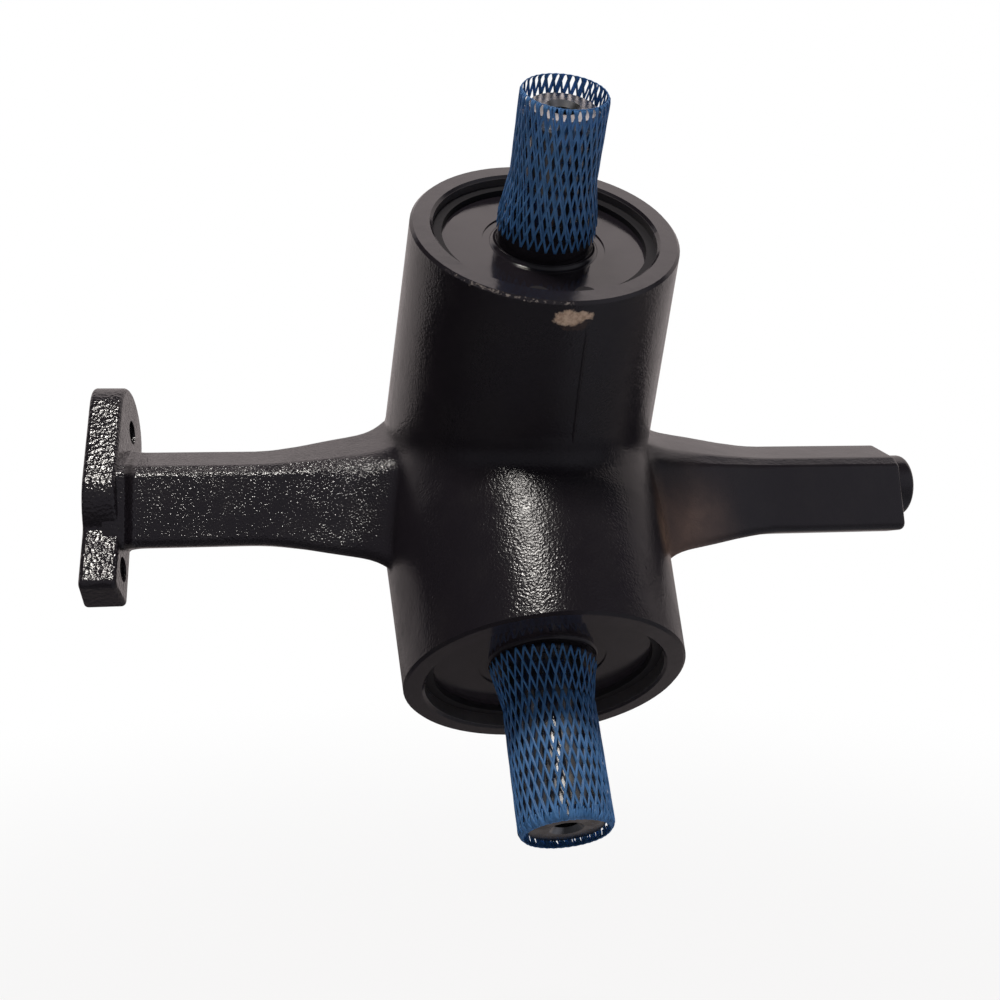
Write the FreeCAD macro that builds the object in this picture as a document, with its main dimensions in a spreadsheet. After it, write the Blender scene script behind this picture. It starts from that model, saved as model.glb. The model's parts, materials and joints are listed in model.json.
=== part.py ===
import FreeCAD, Part
import math
import os
import Sketcher
from FreeCAD import Vector

# Elbow gearbox of an unloading auger. Two splined shafts lean towards the front (-Y) and meet
# at the crossing point; a pair of equal bevel gears joins them there. The origin is the centre
# of the mounting flange's face, +X runs along the arms and +Z is up.

doc = FreeCAD.newDocument("auger_gearbox")
dim = doc.addObject("Spreadsheet::Sheet", "dim")

# Driving dimensions, in millimetres and degrees. A place along a shaft is its distance
# from the crossing point.
SIZES = [
    ("half_angle", 37.5, "lean of each shaft from the vertical"),
    ("draft_angle", 3.0, "taper of the cast barrels"),
    ("flange_reach", 194.0, "flange face to the plane of the two shafts"),
    ("bar_reach", 186.0, "plane of the two shafts to the plain arm's end"),
    ("arm_drop", 24.0, "crossing point to the arms' axis, along the lower shaft"),
    ("rim_edge", 1.2, "chamfer on the barrels' rims"),
    ("crease_rounding", 12.0, "inner corner between the barrels"),
    ("chamber_radius", 56.0, "inside of the gear chamber"),
    ("inner_seat", 40.0, "place of the step that the inner cups sit on"),
    ("upper_rim", 122.0, "place of the upper rim"),
    ("upper_rim_radius", 56.5, "outside of the upper barrel at its rim"),
    ("upper_recess_radius", 47.1, "mouth of the upper barrel"),
    ("upper_recess_depth", 7.0, "rim to the upper cover"),
    ("upper_step_radius", 43.75, "opening that the upper gear passes through"),
    ("lower_rim", 118.5, "place of the lower rim"),
    ("lower_rim_radius", 60.9, "outside of the lower barrel at its rim"),
    ("lower_recess_radius", 51.7, "mouth of the lower barrel"),
    ("lower_recess_depth", 9.0, "rim to the lower cover"),
    ("lower_step_radius", 47.0, "opening that the lower gear passes through"),
    ("knuckle_rise", 0.8, "round knuckle above the upper barrel's root"),
    ("knuckle_blend", 56.0, "place where the lower barrel reaches its full taper"),
    ("flange_thickness", 16.5, "flange plate at its middle"),
    ("flange_taper", 6.7, "lean of the flange's inner face, thicker at the back"),
    ("flange_hub_radius", 22.0, "round middle of the flange"),
    ("flange_edge", 2.0, "rounding of the flange's edges"),
    ("upper_ear_place", 39.0, "arms' axis to the upper bolt hole"),
    ("upper_ear_radius", 20.5, "end of the flange at the top"),
    ("lower_ear_place", 34.0, "arms' axis to the lower bolt hole"),
    ("lower_ear_end", 47.5, "arms' axis to the flange's square lower end"),
    ("lower_ear_width", 21.0, "square ear at the bottom"),
    ("ear_rounding", 3.0, "inner and outer corners of that ear"),
    ("bolt_hole_radius", 5.5, "holes in the flange's ears"),
    ("arm_top_place", 25.5, "front top edge of the arms, along the lower shaft"),
    ("arm_top_front", 3.7, "the same edge, across the lower shaft"),
    ("arm_shoulder_place", 7.2, "upper edge of the narrow band at the front of the arms"),
    ("arm_shoulder_front", 18.6, "the same edge, across"),
    ("arm_ridge_place", 1.4, "ridge at the front of the arms, under that band"),
    ("arm_ridge_front", 20.1, "the same ridge, across"),
    ("arm_foot_place", 27.6, "front bottom edge of the arms, below their axis"),
    ("arm_foot_front", 7.6, "the same edge, across"),
    ("arm_heel_place", 19.4, "back bottom edge of the arms, below their axis"),
    ("arm_heel_back", 7.3, "the same edge, across"),
    ("arm_spine_place", 4.0, "ridge at the back of the arms"),
    ("arm_spine_back", 18.4, "the same ridge, across"),
    ("arm_crown_place", 23.5, "back top edge of the arms"),
    ("arm_crown_back", 5.9, "the same edge, across"),
    ("arm_rounding", 3.5, "rounding of the arm's long edges"),
    ("arm_end_rounding", 2.4, "rounding round the plain arm's end"),
    ("flare_length", 56.0, "length of the arm's flare outside the barrels"),
    ("flare_start", 125.0, "plane of the shafts to the start of the flare"),
    ("spigot_radius", 15.0, "round end of the plain arm"),
    ("spigot_length", 8.4, "length of that round end"),
    ("spigot_rise", 2.4, "that round end above the arms' axis"),
    ("spigot_rounding", 3.0, "rounding of its outer edge"),
    ("foot_length", 16.0, "spread of the arm at the flange"),
    ("filler_hole_radius", 7.0, "oil filler"),
    ("filler_boss_radius", 14.0, "boss round the oil filler"),
    ("filler_boss_height", 4.0, "boss above the knuckle"),
    ("plug_head_radius", 11.5, "hexagon of the plug, over its corners"),
    ("plug_head_height", 9.0, "plug head"),
    ("plug_washer_radius", 12.5, "washer under the plug"),
    ("plug_washer_thickness", 1.5, "washer under the plug"),
    ("cover_thickness", 8.0, "end covers"),
    ("shim_thickness", 3.0, "shim ring under each cover"),
    ("shim_width", 4.0, "radial width of the shim ring"),
    ("slip_clearance", 0.05, "radial room of a sliding or running fit"),
    ("ring_thickness", 2.5, "retaining rings in the barrels"),
    ("ring_height", 6.4, "radial height of the retaining rings"),
    ("ring_groove", 2.4, "depth of the retaining rings' grooves"),
    ("ring_gap", 26.0, "open angle of the retaining rings"),
    ("ring_lug_radius", 4.5, "ears of the retaining rings"),
    ("ring_hole_radius", 1.4, "plier holes of the retaining rings"),
    ("o_ring_radius", 1.1, "section of the covers' rubber rings"),
    ("seal_step", 1.5, "ledge behind each oil seal"),
    ("seal_sink", 0.6, "oil seal below the cover's face"),
    ("upper_seal_radius", 26.0, "outside of the upper oil seal"),
    ("lower_seal_radius", 28.0, "outside of the lower oil seal"),
    ("upper_bearing_bore", 25.0, "bore radius of the upper bearings"),
    ("upper_bearing_outer", 45.0, "outside radius of the upper bearings"),
    ("upper_bearing_width", 21.75, "whole width of an upper bearing"),
    ("upper_cup_width", 17.0, "outer ring of an upper bearing"),
    ("upper_cone_width", 20.0, "inner ring of an upper bearing"),
    ("upper_roller_circle", 35.0, "mean radius of the upper roller set"),
    ("upper_roller_length", 13.0, "upper rollers"),
    ("lower_bearing_bore", 27.5, "bore radius of the lower bearings"),
    ("lower_bearing_outer", 50.0, "outside radius of the lower bearings"),
    ("lower_bearing_width", 22.75, "whole width of a lower bearing"),
    ("lower_cup_width", 18.0, "outer ring of a lower bearing"),
    ("lower_cone_width", 21.0, "inner ring of a lower bearing"),
    ("lower_roller_circle", 38.75, "mean radius of the lower roller set"),
    ("lower_roller_length", 13.5, "lower rollers"),
    ("cup_angle", 14.75, "half angle of the cups' raceways"),
    ("cone_angle", 11.25, "half angle of the cones' raceways"),
    ("roller_count", 16, "rollers in each bearing"),
    ("roller_clearance", 0.03, "radial room of a roller"),
    ("roller_advance", 1.5, "rollers' middle past the cup's middle"),
    ("small_rib", 1.0, "height of a cone's small rib"),
    ("large_rib", 3.0, "height of a cone's large rib"),
    ("cage_lift", 0.7, "cage above the rollers' axes"),
    ("cage_thickness", 1.2, "sheet of the cages"),
    ("cage_overhang", 2.4, "cage past the rollers' ends"),
    ("cage_room", 0.25, "room round a roller in its pocket"),
    ("spacer_thickness", 4.5, "wall of the cone spacers"),
    ("shaft_ring_height", 4.0, "shaft rings above the bearing seat"),
    ("shaft_ring_groove", 1.5, "depth of the shaft rings' grooves"),
    ("shaft_ring_thickness", 2.0, "shaft rings"),
    ("shaft_ring_land", 0.8, "bearing seat past the shaft ring"),
    ("tooth_count", 18, "teeth of each bevel gear"),
    ("tooth_module", 4.5, "pitch diameter per tooth"),
    ("tooth_face", 16.0, "length of the teeth along the cone"),
    ("tooth_dedendum", 1.2, "root depth in modules"),
    ("tooth_backlash", 0.25, "extra width of a tooth gap"),
    ("pressure_angle", 20.0, "slope of the teeth at the pitch line"),
    ("gear_bore", 18.0, "gear seat on both shafts, radius"),
    ("gear_hub_radius", 30.0, "gear hub that meets the inner cone"),
    ("gear_back_gap", 0.7, "gear's back to the place of the inner cups"),
    ("key_width", 8.0, "gear keys"),
    ("key_height", 7.0, "gear keys"),
    ("key_length", 12.0, "gear keys"),
    ("washer_thickness", 1.2, "lock washers at the gears"),
    ("nut_radius", 20.0, "gear nuts"),
    ("nut_thickness", 5.5, "gear nuts"),
    ("nut_slot", 5.0, "spanner slots in the gear nuts"),
    ("thread_radius", 13.5, "thread under the gear nuts"),
    ("thread_end", 16.0, "place of the shafts' inner ends"),
    ("upper_journal_radius", 20.0, "upper shaft where it runs in the seal"),
    ("upper_spline_teeth", 6, "teeth of the upper spline"),
    ("upper_spline_radius", 17.0, "outside of the upper spline"),
    ("upper_spline_root", 14.0, "root radius of the upper spline"),
    ("upper_spline_tooth", 7.0, "tooth width of the upper spline"),
    ("upper_spline_start", 128.0, "place where the upper spline starts"),
    ("upper_spline_turn", 0.0, "turn of the upper spline's teeth"),
    ("upper_shaft_end", 174.5, "place of the upper shaft's end"),
    ("lower_journal_radius", 22.5, "lower shaft where it runs in the seal"),
    ("lower_spline_teeth", 8, "teeth of the lower spline"),
    ("lower_spline_radius", 19.0, "outside of the lower spline"),
    ("lower_spline_root", 16.0, "root radius of the lower spline"),
    ("lower_spline_tooth", 6.0, "tooth width of the lower spline"),
    ("lower_spline_start", 113.0, "place where the lower spline starts"),
    ("lower_spline_turn", -6.5, "turn of the lower spline's teeth"),
    ("lower_shaft_end", 183.2, "place of the lower shaft's end"),
    ("spline_chamfer", 3.6, "radial height of the shaft ends' chamfer"),
    ("centre_hole_radius", 5.1, "tapped hole in each shaft end"),
    ("centre_hole_depth", 26.0, "tapped hole in each shaft end"),
    ("centre_mouth_radius", 7.2, "countersink of that hole"),
    ("net_clearance", 0.06, "net above the shaft"),
    ("net_flare", 18.0, "length over which the nets widen to their foot"),
    ("upper_net_start", 121.8, "place of the upper net's foot"),
    ("upper_net_end", 181.0, "place of the upper net's open end"),
    ("upper_net_wall", 0.45, "upper net, one layer"),
    ("lower_net_start", 110.2, "place of the lower net's foot"),
    ("lower_net_end", 185.6, "place of the lower net's open end"),
    ("lower_net_wall", 0.85, "lower net, two layers"),
]
for row, (name, amount, note) in enumerate(SIZES, start=1):
    dim.set(f"A{row}", note)
    dim.set(f"B{row}", str(amount))
    dim.setAlias(f"B{row}", name)
doc.recompute()

SIDES = ("upper", "lower")
CENTRE = "vector(dim.flange_reach; dim.arm_drop * sin(dim.half_angle); dim.arm_drop * cos(dim.half_angle))"
LEAN = {"upper": "dim.half_angle", "lower": "180 - dim.half_angle"}
# Direction from a shaft's axis to the gears' mesh line, about that shaft, in degrees
MESH_TURN = {"upper": 270.0, "lower": 90.0}

sub_parts = []


def number(expression):
    """Value of an expression on the sheet."""
    return float(dim.evalExpression(expression))


def keep(feature, label):
    """Name a finished sub-part and put it on the list of files."""
    feature.Label = label
    sub_parts.append(feature)
    return feature


def origin_plane(body, role):
    return [item for item in body.Origin.OriginFeatures if item.Role == role][0]


def attach(feature, body, role, offset=None):
    """Attach a feature to one of its body's planes, with an optional offset expression."""
    feature.AttachmentSupport = (origin_plane(body, role), [""])
    feature.MapMode = "FlatFace"
    if offset:
        feature.setExpression("AttachmentOffset", offset)


def at(across, deep, along):
    """Placement expression of a plain shift."""
    return f"placement(vector({across}; {deep}; {along}); rotation(vector(0; 0; 1); 0))"


def bind(feature, **expressions):
    for name, expression in expressions.items():
        feature.setExpression(name, expression)
    return feature


def polygon(body, name, points, role="XZ_Plane", offset=None):
    """Closed sketch through corners that are given as pairs of expressions."""
    sketch = body.newObject("Sketcher::SketchObject", name)
    attach(sketch, body, role, offset)
    corners = [Vector(number(across), number(along), 0) for across, along in points]
    count = len(corners)
    for index in range(count):
        sketch.addGeometry(Part.LineSegment(corners[index], corners[(index + 1) % count]))
    for index in range(count):
        sketch.addConstraint(Sketcher.Constraint("Coincident", index, 2, (index + 1) % count, 1))
    for index, (across, along) in enumerate(points):
        pairs = (("DistanceX", across, corners[index].x), ("DistanceY", along, corners[index].y))
        for kind, expression, start in pairs:
            place = sketch.addConstraint(Sketcher.Constraint(kind, -1, 1, index, 1, start))
            sketch.setExpression(f"Constraints[{place}]", expression)
    return sketch


def turned(name, points, sweep="360"):
    """Body of revolution about its own Z axis, from (radius, place) corners."""
    body = doc.addObject("PartDesign::Body", name)
    profile = polygon(body, f"{name}_profile", points)
    turn = body.newObject("PartDesign::Revolution", f"{name}_turn")
    turn.Profile = profile
    turn.ReferenceAxis = (profile, ["V_Axis"])
    bind(turn, Angle=sweep)
    body.Tip = turn
    return body


def on_shaft(feature, side, turn="0"):
    """Put a feature that is modelled along Z on one of the two shaft axes."""
    lean = f"rotation(vector(1; 0; 0); {LEAN[side]})"
    spin = f"placement(vector(0; 0; 0); rotation(vector(0; 0; 1); {turn}))"
    feature.setExpression("Placement", f"placement({CENTRE}; {lean}) * {spin}")
    return feature


def repeat(body, feature, count):
    """Polar pattern of a feature about the body's Z axis."""
    pattern = body.newObject("PartDesign::PolarPattern", f"{feature.Name}_pattern")
    pattern.Originals = [feature]
    axis = [item for item in body.Origin.OriginFeatures if item.Role == "Z_Axis"][0]
    pattern.Axis = (axis, [""])
    pattern.Angle = 360
    bind(pattern, Occurrences=count)
    body.Tip = pattern
    return pattern


# Places along each shaft that several pieces share
COVER_FACE = {side: f"(dim.{side}_rim - dim.{side}_recess_depth)" for side in SIDES}
COVER_SEAT = {side: f"({COVER_FACE[side]} - dim.cover_thickness)" for side in SIDES}
OUTER_CUP_SEAT = {side: f"({COVER_SEAT[side]} - dim.shim_thickness)" for side in SIDES}
INNER_CONE_FACE = {
    side: f"(dim.inner_seat + dim.{side}_bearing_width - dim.{side}_cone_width)" for side in SIDES
}
OUTER_CONE_FACE = {
    side: f"({OUTER_CUP_SEAT[side]} - dim.{side}_bearing_width + dim.{side}_cone_width)" for side in SIDES
}
UPPER_ROOT = "(dim.upper_rim_radius + dim.upper_rim * tan(dim.draft_angle))"
KNUCKLE = f"({UPPER_ROOT} + dim.knuckle_rise)"


# The housing

def barrel(side):
    """Cast barrel, thicker towards the round knuckle at the crossing point."""
    edge_radius = f"dim.{side}_rim_radius + dim.rim_edge * tan(dim.draft_angle)"
    root = [(UPPER_ROOT, "0")]
    if side == "lower":
        # The wider barrel narrows again where it meets the knuckle
        blend_radius = "dim.lower_rim_radius + (dim.lower_rim - dim.knuckle_blend) * tan(dim.draft_angle)"
        root = [(KNUCKLE, "0"), (blend_radius, "dim.knuckle_blend")]
    body = turned(f"{side}_barrel", [("0", "0")] + root + [
        (edge_radius, f"dim.{side}_rim - dim.rim_edge"),
        (f"dim.{side}_rim_radius - dim.rim_edge", f"dim.{side}_rim"),
        ("0", f"dim.{side}_rim"),
    ])
    return on_shaft(body, side)


def barrel_bore(side):
    """Everything that is machined out of a barrel: passage, cup bore, recess and ring groove."""
    recess = f"dim.{side}_recess_radius"
    groove_end = f"{COVER_FACE[side]} + dim.ring_thickness + dim.slip_clearance"
    body = turned(f"{side}_bore", [
        ("0", "0"),
        (f"dim.{side}_step_radius", "0"),
        (f"dim.{side}_step_radius", "dim.inner_seat"),
        (f"dim.{side}_bearing_outer", "dim.inner_seat"),
        (f"dim.{side}_bearing_outer", COVER_SEAT[side]),
        (recess, COVER_SEAT[side]),
        (recess, COVER_FACE[side]),
        (f"{recess} + dim.ring_groove", COVER_FACE[side]),
        (f"{recess} + dim.ring_groove", groove_end),
        (recess, groove_end),
        (recess, f"dim.{side}_rim - dim.rim_edge"),
        (f"{recess} + dim.rim_edge", f"dim.{side}_rim"),
        (f"{recess} + dim.rim_edge", f"dim.{side}_rim + dim.rim_edge"),
        ("0", f"dim.{side}_rim + dim.rim_edge"),
    ])
    return on_shaft(body, side)


def ball(name, radius):
    sphere = doc.addObject("Part::Sphere", name)
    bind(sphere, Radius=radius, Placement=f"placement({CENTRE}; rotation(vector(0; 0; 1); 0))")
    return sphere


def elbow():
    """Both barrels and the round knuckle, with the crease at the front rounded."""
    rough = doc.addObject("Part::MultiFuse", "rough_elbow")
    rough.Shapes = [barrel("upper"), barrel("lower"), ball("knuckle", KNUCKLE)]
    rough.Refine = True
    doc.recompute()
    front = [
        (edge.BoundBox.YMin, index)
        for index, edge in enumerate(rough.Shape.Edges, start=1)
        if edge.Curve.TypeId == "Part::GeomBSplineCurve"
    ]
    crease = min(front)[1]
    rounding = number("dim.crease_rounding")
    smooth = doc.addObject("Part::Fillet", "elbow")
    smooth.Base = rough
    smooth.Edges = [(crease, rounding, rounding)]
    return smooth


def arm_place(along, across):
    """Y and Z expressions of a point beside the arms' axis, along and across the lower shaft."""
    sideways = f"({along}) * sin(dim.half_angle) - ({across}) * cos(dim.half_angle)"
    upwards = f"({along}) * cos(dim.half_angle) + ({across}) * sin(dim.half_angle)"
    return sideways, upwards


def flange():
    """Mounting flange: round hub, long round ear at the top and a narrow square ear at the bottom."""
    body = doc.addObject("PartDesign::Body", "flange")
    stock = "(2 * dim.flange_thickness)"

    def disc(name, kind, radius, along):
        feature = body.newObject(f"PartDesign::{kind}Cylinder", name)
        sideways, upwards = arm_place(along, "0")
        attach(feature, body, "YZ_Plane", at(sideways, upwards, "0"))
        bind(feature, Radius=radius, Height=stock)
        doc.recompute()

    def web(name, corners):
        points = [arm_place(along, across) for along, across in corners]
        sketch = polygon(body, f"{name}_outline", points, "YZ_Plane")
        pad = body.newObject("PartDesign::Pad", name)
        pad.Profile = sketch
        bind(pad, Length=stock)
        doc.recompute()

    disc("flange_hub", "Additive", "dim.flange_hub_radius", "0")
    disc("upper_ear", "Additive", "dim.upper_ear_radius", "dim.upper_ear_place")
    # Straight sides that touch both circles of the upper half
    lean = "((dim.flange_hub_radius - dim.upper_ear_radius) / dim.upper_ear_place)"
    rise = f"sqrt(1 - {lean} ^ 2)"
    web("upper_web", [
        (f"dim.flange_hub_radius * {lean}", f"-dim.flange_hub_radius * {rise}"),
        (f"dim.upper_ear_place + dim.upper_ear_radius * {lean}", f"-dim.upper_ear_radius * {rise}"),
        (f"dim.upper_ear_place + dim.upper_ear_radius * {lean}", f"dim.upper_ear_radius * {rise}"),
        (f"dim.flange_hub_radius * {lean}", f"dim.flange_hub_radius * {rise}"),
    ])
    web("lower_ear", [
        ("0", "-dim.lower_ear_width / 2"),
        ("-dim.lower_ear_end", "-dim.lower_ear_width / 2"),
        ("-dim.lower_ear_end", "dim.lower_ear_width / 2"),
        ("0", "dim.lower_ear_width / 2"),
    ])
    # The inner face leans about the flange's long axis
    slope = body.newObject("PartDesign::SubtractiveBox", "flange_slope")
    long_axis = "vector(0; sin(dim.half_angle); cos(dim.half_angle))"
    hinge = f"placement(vector(dim.flange_thickness; 0; 0); rotation({long_axis}; -dim.flange_taper))"
    half = "(4 * dim.flange_hub_radius)"
    attach(slope, body, "XY_Plane", f"{hinge} * {at('0', f'-{half}', f'-{half}')}")
    bind(slope, Length=stock, Width=f"2 * {half}", Height=f"2 * {half}")
    doc.recompute()
    for name, place in (("ear_root", "-dim.flange_hub_radius"), ("ear_end", "-dim.lower_ear_end")):
        soften(body, f"{name}_rounding", ear_corners(body.Tip.Shape, place), "dim.ear_rounding")
    soften(body, "flange_rounding", flat_sides(body.Tip.Shape), "dim.flange_edge")
    for name, along in (("upper", "dim.upper_ear_place"), ("lower", "-dim.lower_ear_place")):
        disc(f"{name}_bolt_hole", "Subtractive", "dim.bolt_hole_radius", along)
    return body


def ear_corners(shape, place):
    """Names of the square ear's corner edges near a place along the lower shaft."""
    reach = number("dim.flange_hub_radius") / 4
    lean = math.radians(number("dim.half_angle"))
    names = []
    for index, edge in enumerate(shape.Edges, start=1):
        middle = edge.CenterOfMass
        along = middle.y * math.sin(lean) + middle.z * math.cos(lean)
        straight = edge.Curve.TypeId == "Part::GeomLine"
        crosswise = straight and abs(edge.tangentAt(edge.FirstParameter).x) > 0.99
        if crosswise and abs(along - number(place)) < reach:
            names.append(f"Edge{index}")
    return names


def flat_sides(shape):
    """Names of a plate's two flat faces."""
    names = []
    for index, face in enumerate(shape.Faces, start=1):
        if face.Surface.TypeId == "Part::GeomPlane" and abs(face.normalAt(0, 0).x) > 0.95:
            names.append(f"Face{index}")
    return names


def soften(body, name, elements, radius):
    """Round named edges, or all the edges of named faces."""
    base = body.Tip
    fillet = body.newObject("PartDesign::Fillet", name)
    fillet.Base = (base, elements)
    bind(fillet, Radius=radius)
    doc.recompute()


def arm_section(place, tall, wide):
    """Wire round the arm's streamlined section, stretched along and across the lower shaft."""
    lean = math.radians(number("dim.half_angle"))
    along_axis = Vector(0, math.sin(lean), math.cos(lean))
    across_axis = Vector(0, -math.cos(lean), math.sin(lean))
    edges = (("top", 1, "front", 1), ("shoulder", 1, "front", 1), ("ridge", 1, "front", 1),
             ("foot", -1, "front", 1), ("heel", -1, "back", -1), ("spine", 1, "back", -1),
             ("crown", 1, "back", -1))
    corners = []
    for name, above, side, before in edges:
        # The front ridge stays straight in the flare
        stretch = 1.0 if name == "ridge" else tall
        along = above * number(f"dim.arm_{name}_place") * stretch
        across = before * number(f"dim.arm_{name}_{side}") * wide
        corners.append(Vector(place, 0, 0) + along_axis * along + across_axis * across)
    return rounded_wire(corners, number("dim.arm_rounding") * wide)


def rounded_wire(corners, radius):
    """Closed wire of straight sides and arcs through flat corners."""
    starts, middles, ends = [], [], []
    count = len(corners)
    for index, corner in enumerate(corners):
        back = (corners[index - 1] - corner).normalize()
        ahead = (corners[(index + 1) % count] - corner).normalize()
        half = back.getAngle(ahead) / 2
        bisector = (back + ahead).normalize()
        starts.append(corner + back * (radius / math.tan(half)))
        ends.append(corner + ahead * (radius / math.tan(half)))
        middles.append(corner + bisector * (radius / math.sin(half) - radius))
    edges = []
    for index in range(count):
        edges.append(Part.Arc(starts[index], middles[index], ends[index]).toShape())
        edges.append(Part.LineSegment(ends[index], starts[(index + 1) % count]).toShape())
    return Part.Wire(edges)


# How the arm's section grows into the barrels: share of the flare's length, then the stretch
# along and across the lower shaft
FLARE = [(0.0, 1.0, 1.0), (0.06, 1.002, 1.001), (0.12, 1.009, 1.004), (0.2, 1.025, 1.01), (0.3, 1.06, 1.024),
         (0.4, 1.1, 1.04), (0.6, 1.2, 1.08), (0.8, 1.295, 1.12), (1.0, 1.43, 1.19), (1.08, 1.55, 1.24),
         (1.2, 1.75, 1.3)]
# How it grows into the flange: share of the foot's length
FOOT = [(0.0, 1.05, 1.05), (0.5, 1.045, 1.045), (0.75, 1.015, 1.015), (1.0, 1.0, 1.0)]


def arm(name, end, start_of_flare, way, foot_length):
    """One arm: straight bar, flare into the barrels and, at the flange, a spreading foot."""
    flare_length = number("dim.flare_length")
    flare = []
    for share, tall, wide in FLARE:
        flare.append(arm_section(start_of_flare + way * share * flare_length, tall, wide))
    solids = [Part.makeLoft(flare, True, False)]
    bar_end = end
    if foot_length:
        foot = []
        for share, tall, wide in FOOT:
            foot.append(arm_section(end + way * share * foot_length, tall, wide))
        solids.append(Part.makeLoft(foot, True, False))
        bar_end = end + way * FOOT[-1][0] * foot_length
    section = Part.Face(arm_section(bar_end, 1.0, 1.0))
    bar = section.extrude(Vector(start_of_flare - bar_end, 0, 0))
    if not foot_length:
        rim = [edge for edge in bar.Edges if abs(edge.BoundBox.Center.x - end) < 0.01]
        bar = bar.makeFillet(number("dim.arm_end_rounding"), rim)
    solids.append(bar)
    feature = doc.addObject("Part::Feature", name)
    feature.Shape = solids[0].fuse(solids[1:])
    return feature


def housing():
    middle = number("dim.flange_reach")
    arm_start = number("dim.flange_thickness / 2")
    flare_start = number("dim.flare_start")
    bar_end = middle + number("dim.bar_reach")
    left_arm = arm("flange_arm", arm_start, middle - flare_start, 1, number("dim.foot_length"))
    right_arm = arm("plain_arm", bar_end, middle + flare_start, -1, 0)

    spigot = doc.addObject("Part::Cylinder", "spigot")
    bind(spigot, Radius="dim.spigot_radius", Height="dim.spigot_length + dim.flange_edge")
    spigot_place = "vector(dim.flange_reach + dim.bar_reach - dim.flange_edge; 0; dim.spigot_rise)"
    bind(spigot, Placement=f"placement({spigot_place}; rotation(vector(0; 1; 0); 90))")
    doc.recompute()
    rim = max((edge.BoundBox.XMin, index) for index, edge in enumerate(spigot.Shape.Edges, start=1))[1]
    rounding = number("dim.spigot_rounding")
    round_spigot = doc.addObject("Part::Fillet", "round_spigot")
    round_spigot.Base = spigot
    round_spigot.Edges = [(rim, rounding, rounding)]
    boss = doc.addObject("Part::Cylinder", "filler_boss")
    bind(boss, Radius="dim.filler_boss_radius")
    bind(boss, Height=f"{KNUCKLE} + dim.filler_boss_height")
    hole = doc.addObject("Part::Cylinder", "filler_hole")
    bind(hole, Radius="dim.filler_hole_radius")
    bind(hole, Height=f"{KNUCKLE} + 2 * dim.filler_boss_height")
    for feature in (boss, hole):
        bind(feature, Placement=f"placement({CENTRE}; rotation(vector(1; 0; 0); -90))")

    metal = doc.addObject("Part::MultiFuse", "housing_metal")
    metal.Shapes = [elbow(), left_arm, right_arm, flange(), round_spigot, boss]
    metal.Refine = False
    space = doc.addObject("Part::MultiFuse", "housing_space")
    space.Shapes = [barrel_bore("upper"), barrel_bore("lower"), ball("chamber", "dim.chamber_radius"), hole]
    cast = doc.addObject("Part::Cut", "cast_housing")
    cast.Base = metal
    cast.Tool = space
    cast.Refine = False
    keep(cast, "housing")


def filler_plug():
    """Hexagon plug and its washer on the boss at the back."""
    top = f"{KNUCKLE} + dim.filler_boss_height"
    washer = turned("plug_washer_ring", [
        ("dim.filler_hole_radius", top),
        ("dim.plug_washer_radius", top),
        ("dim.plug_washer_radius", f"{top} + dim.plug_washer_thickness"),
        ("dim.filler_hole_radius", f"{top} + dim.plug_washer_thickness"),
    ])
    shank = doc.addObject("Part::Cylinder", "plug_shank")
    bind(shank, Radius="dim.filler_hole_radius")
    bind(shank, Height=f"{top} + dim.plug_washer_thickness + dim.plug_head_height / 2 - dim.chamber_radius")
    head = doc.addObject("Part::Prism", "plug_head")
    head.Polygon = 6
    bind(head, Circumradius="dim.plug_head_radius", Height="dim.plug_head_height")
    back = "rotation(vector(1; 0; 0); -90)"
    bind(washer, Placement=f"placement({CENTRE}; {back})")
    bind(shank, Placement=f"placement({CENTRE} + vector(0; dim.chamber_radius; 0); {back})")
    head_place = f"{CENTRE} + vector(0; {top} + dim.plug_washer_thickness; 0)"
    bind(head, Placement=f"placement({head_place}; {back})")
    plug = doc.addObject("Part::Fuse", "plug")
    plug.Base = shank
    plug.Tool = head
    keep(plug, "filler_plug")
    keep(washer, "plug_washer")


# Covers, seals and rings in the barrels' mouths

def end_cover(side):
    seat, face = COVER_SEAT[side], COVER_FACE[side]
    rim = f"dim.{side}_recess_radius - dim.slip_clearance"
    groove_floor = f"{rim} - 2 * dim.o_ring_radius - dim.slip_clearance"
    groove_middle = f"({seat} + {face}) / 2"
    groove_half = "(dim.o_ring_radius + 2 * dim.slip_clearance)"
    hole = f"dim.{side}_seal_radius"
    body = turned(f"{side}_cover_disc", [
        (f"{hole} - dim.seal_step", seat),
        (rim, seat),
        (rim, f"{groove_middle} - {groove_half}"),
        (groove_floor, f"{groove_middle} - {groove_half}"),
        (groove_floor, f"{groove_middle} + {groove_half}"),
        (rim, f"{groove_middle} + {groove_half}"),
        (rim, face),
        (hole, face),
        (hole, f"{seat} + dim.seal_step"),
        (f"{hole} - dim.seal_step", f"{seat} + dim.seal_step"),
    ])
    keep(on_shaft(body, side), f"{side}_end_cover")
    ring = doc.addObject("Part::Torus", f"{side}_rubber_ring")
    bind(ring, Radius1=f"{rim} - dim.o_ring_radius", Radius2="dim.o_ring_radius")
    lean = f"rotation(vector(1; 0; 0); {LEAN[side]})"
    bind(ring, Placement=f"placement({CENTRE}; {lean}) * {at('0', '0', groove_middle)}")
    keep(ring, f"{side}_cover_o_ring")


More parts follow.
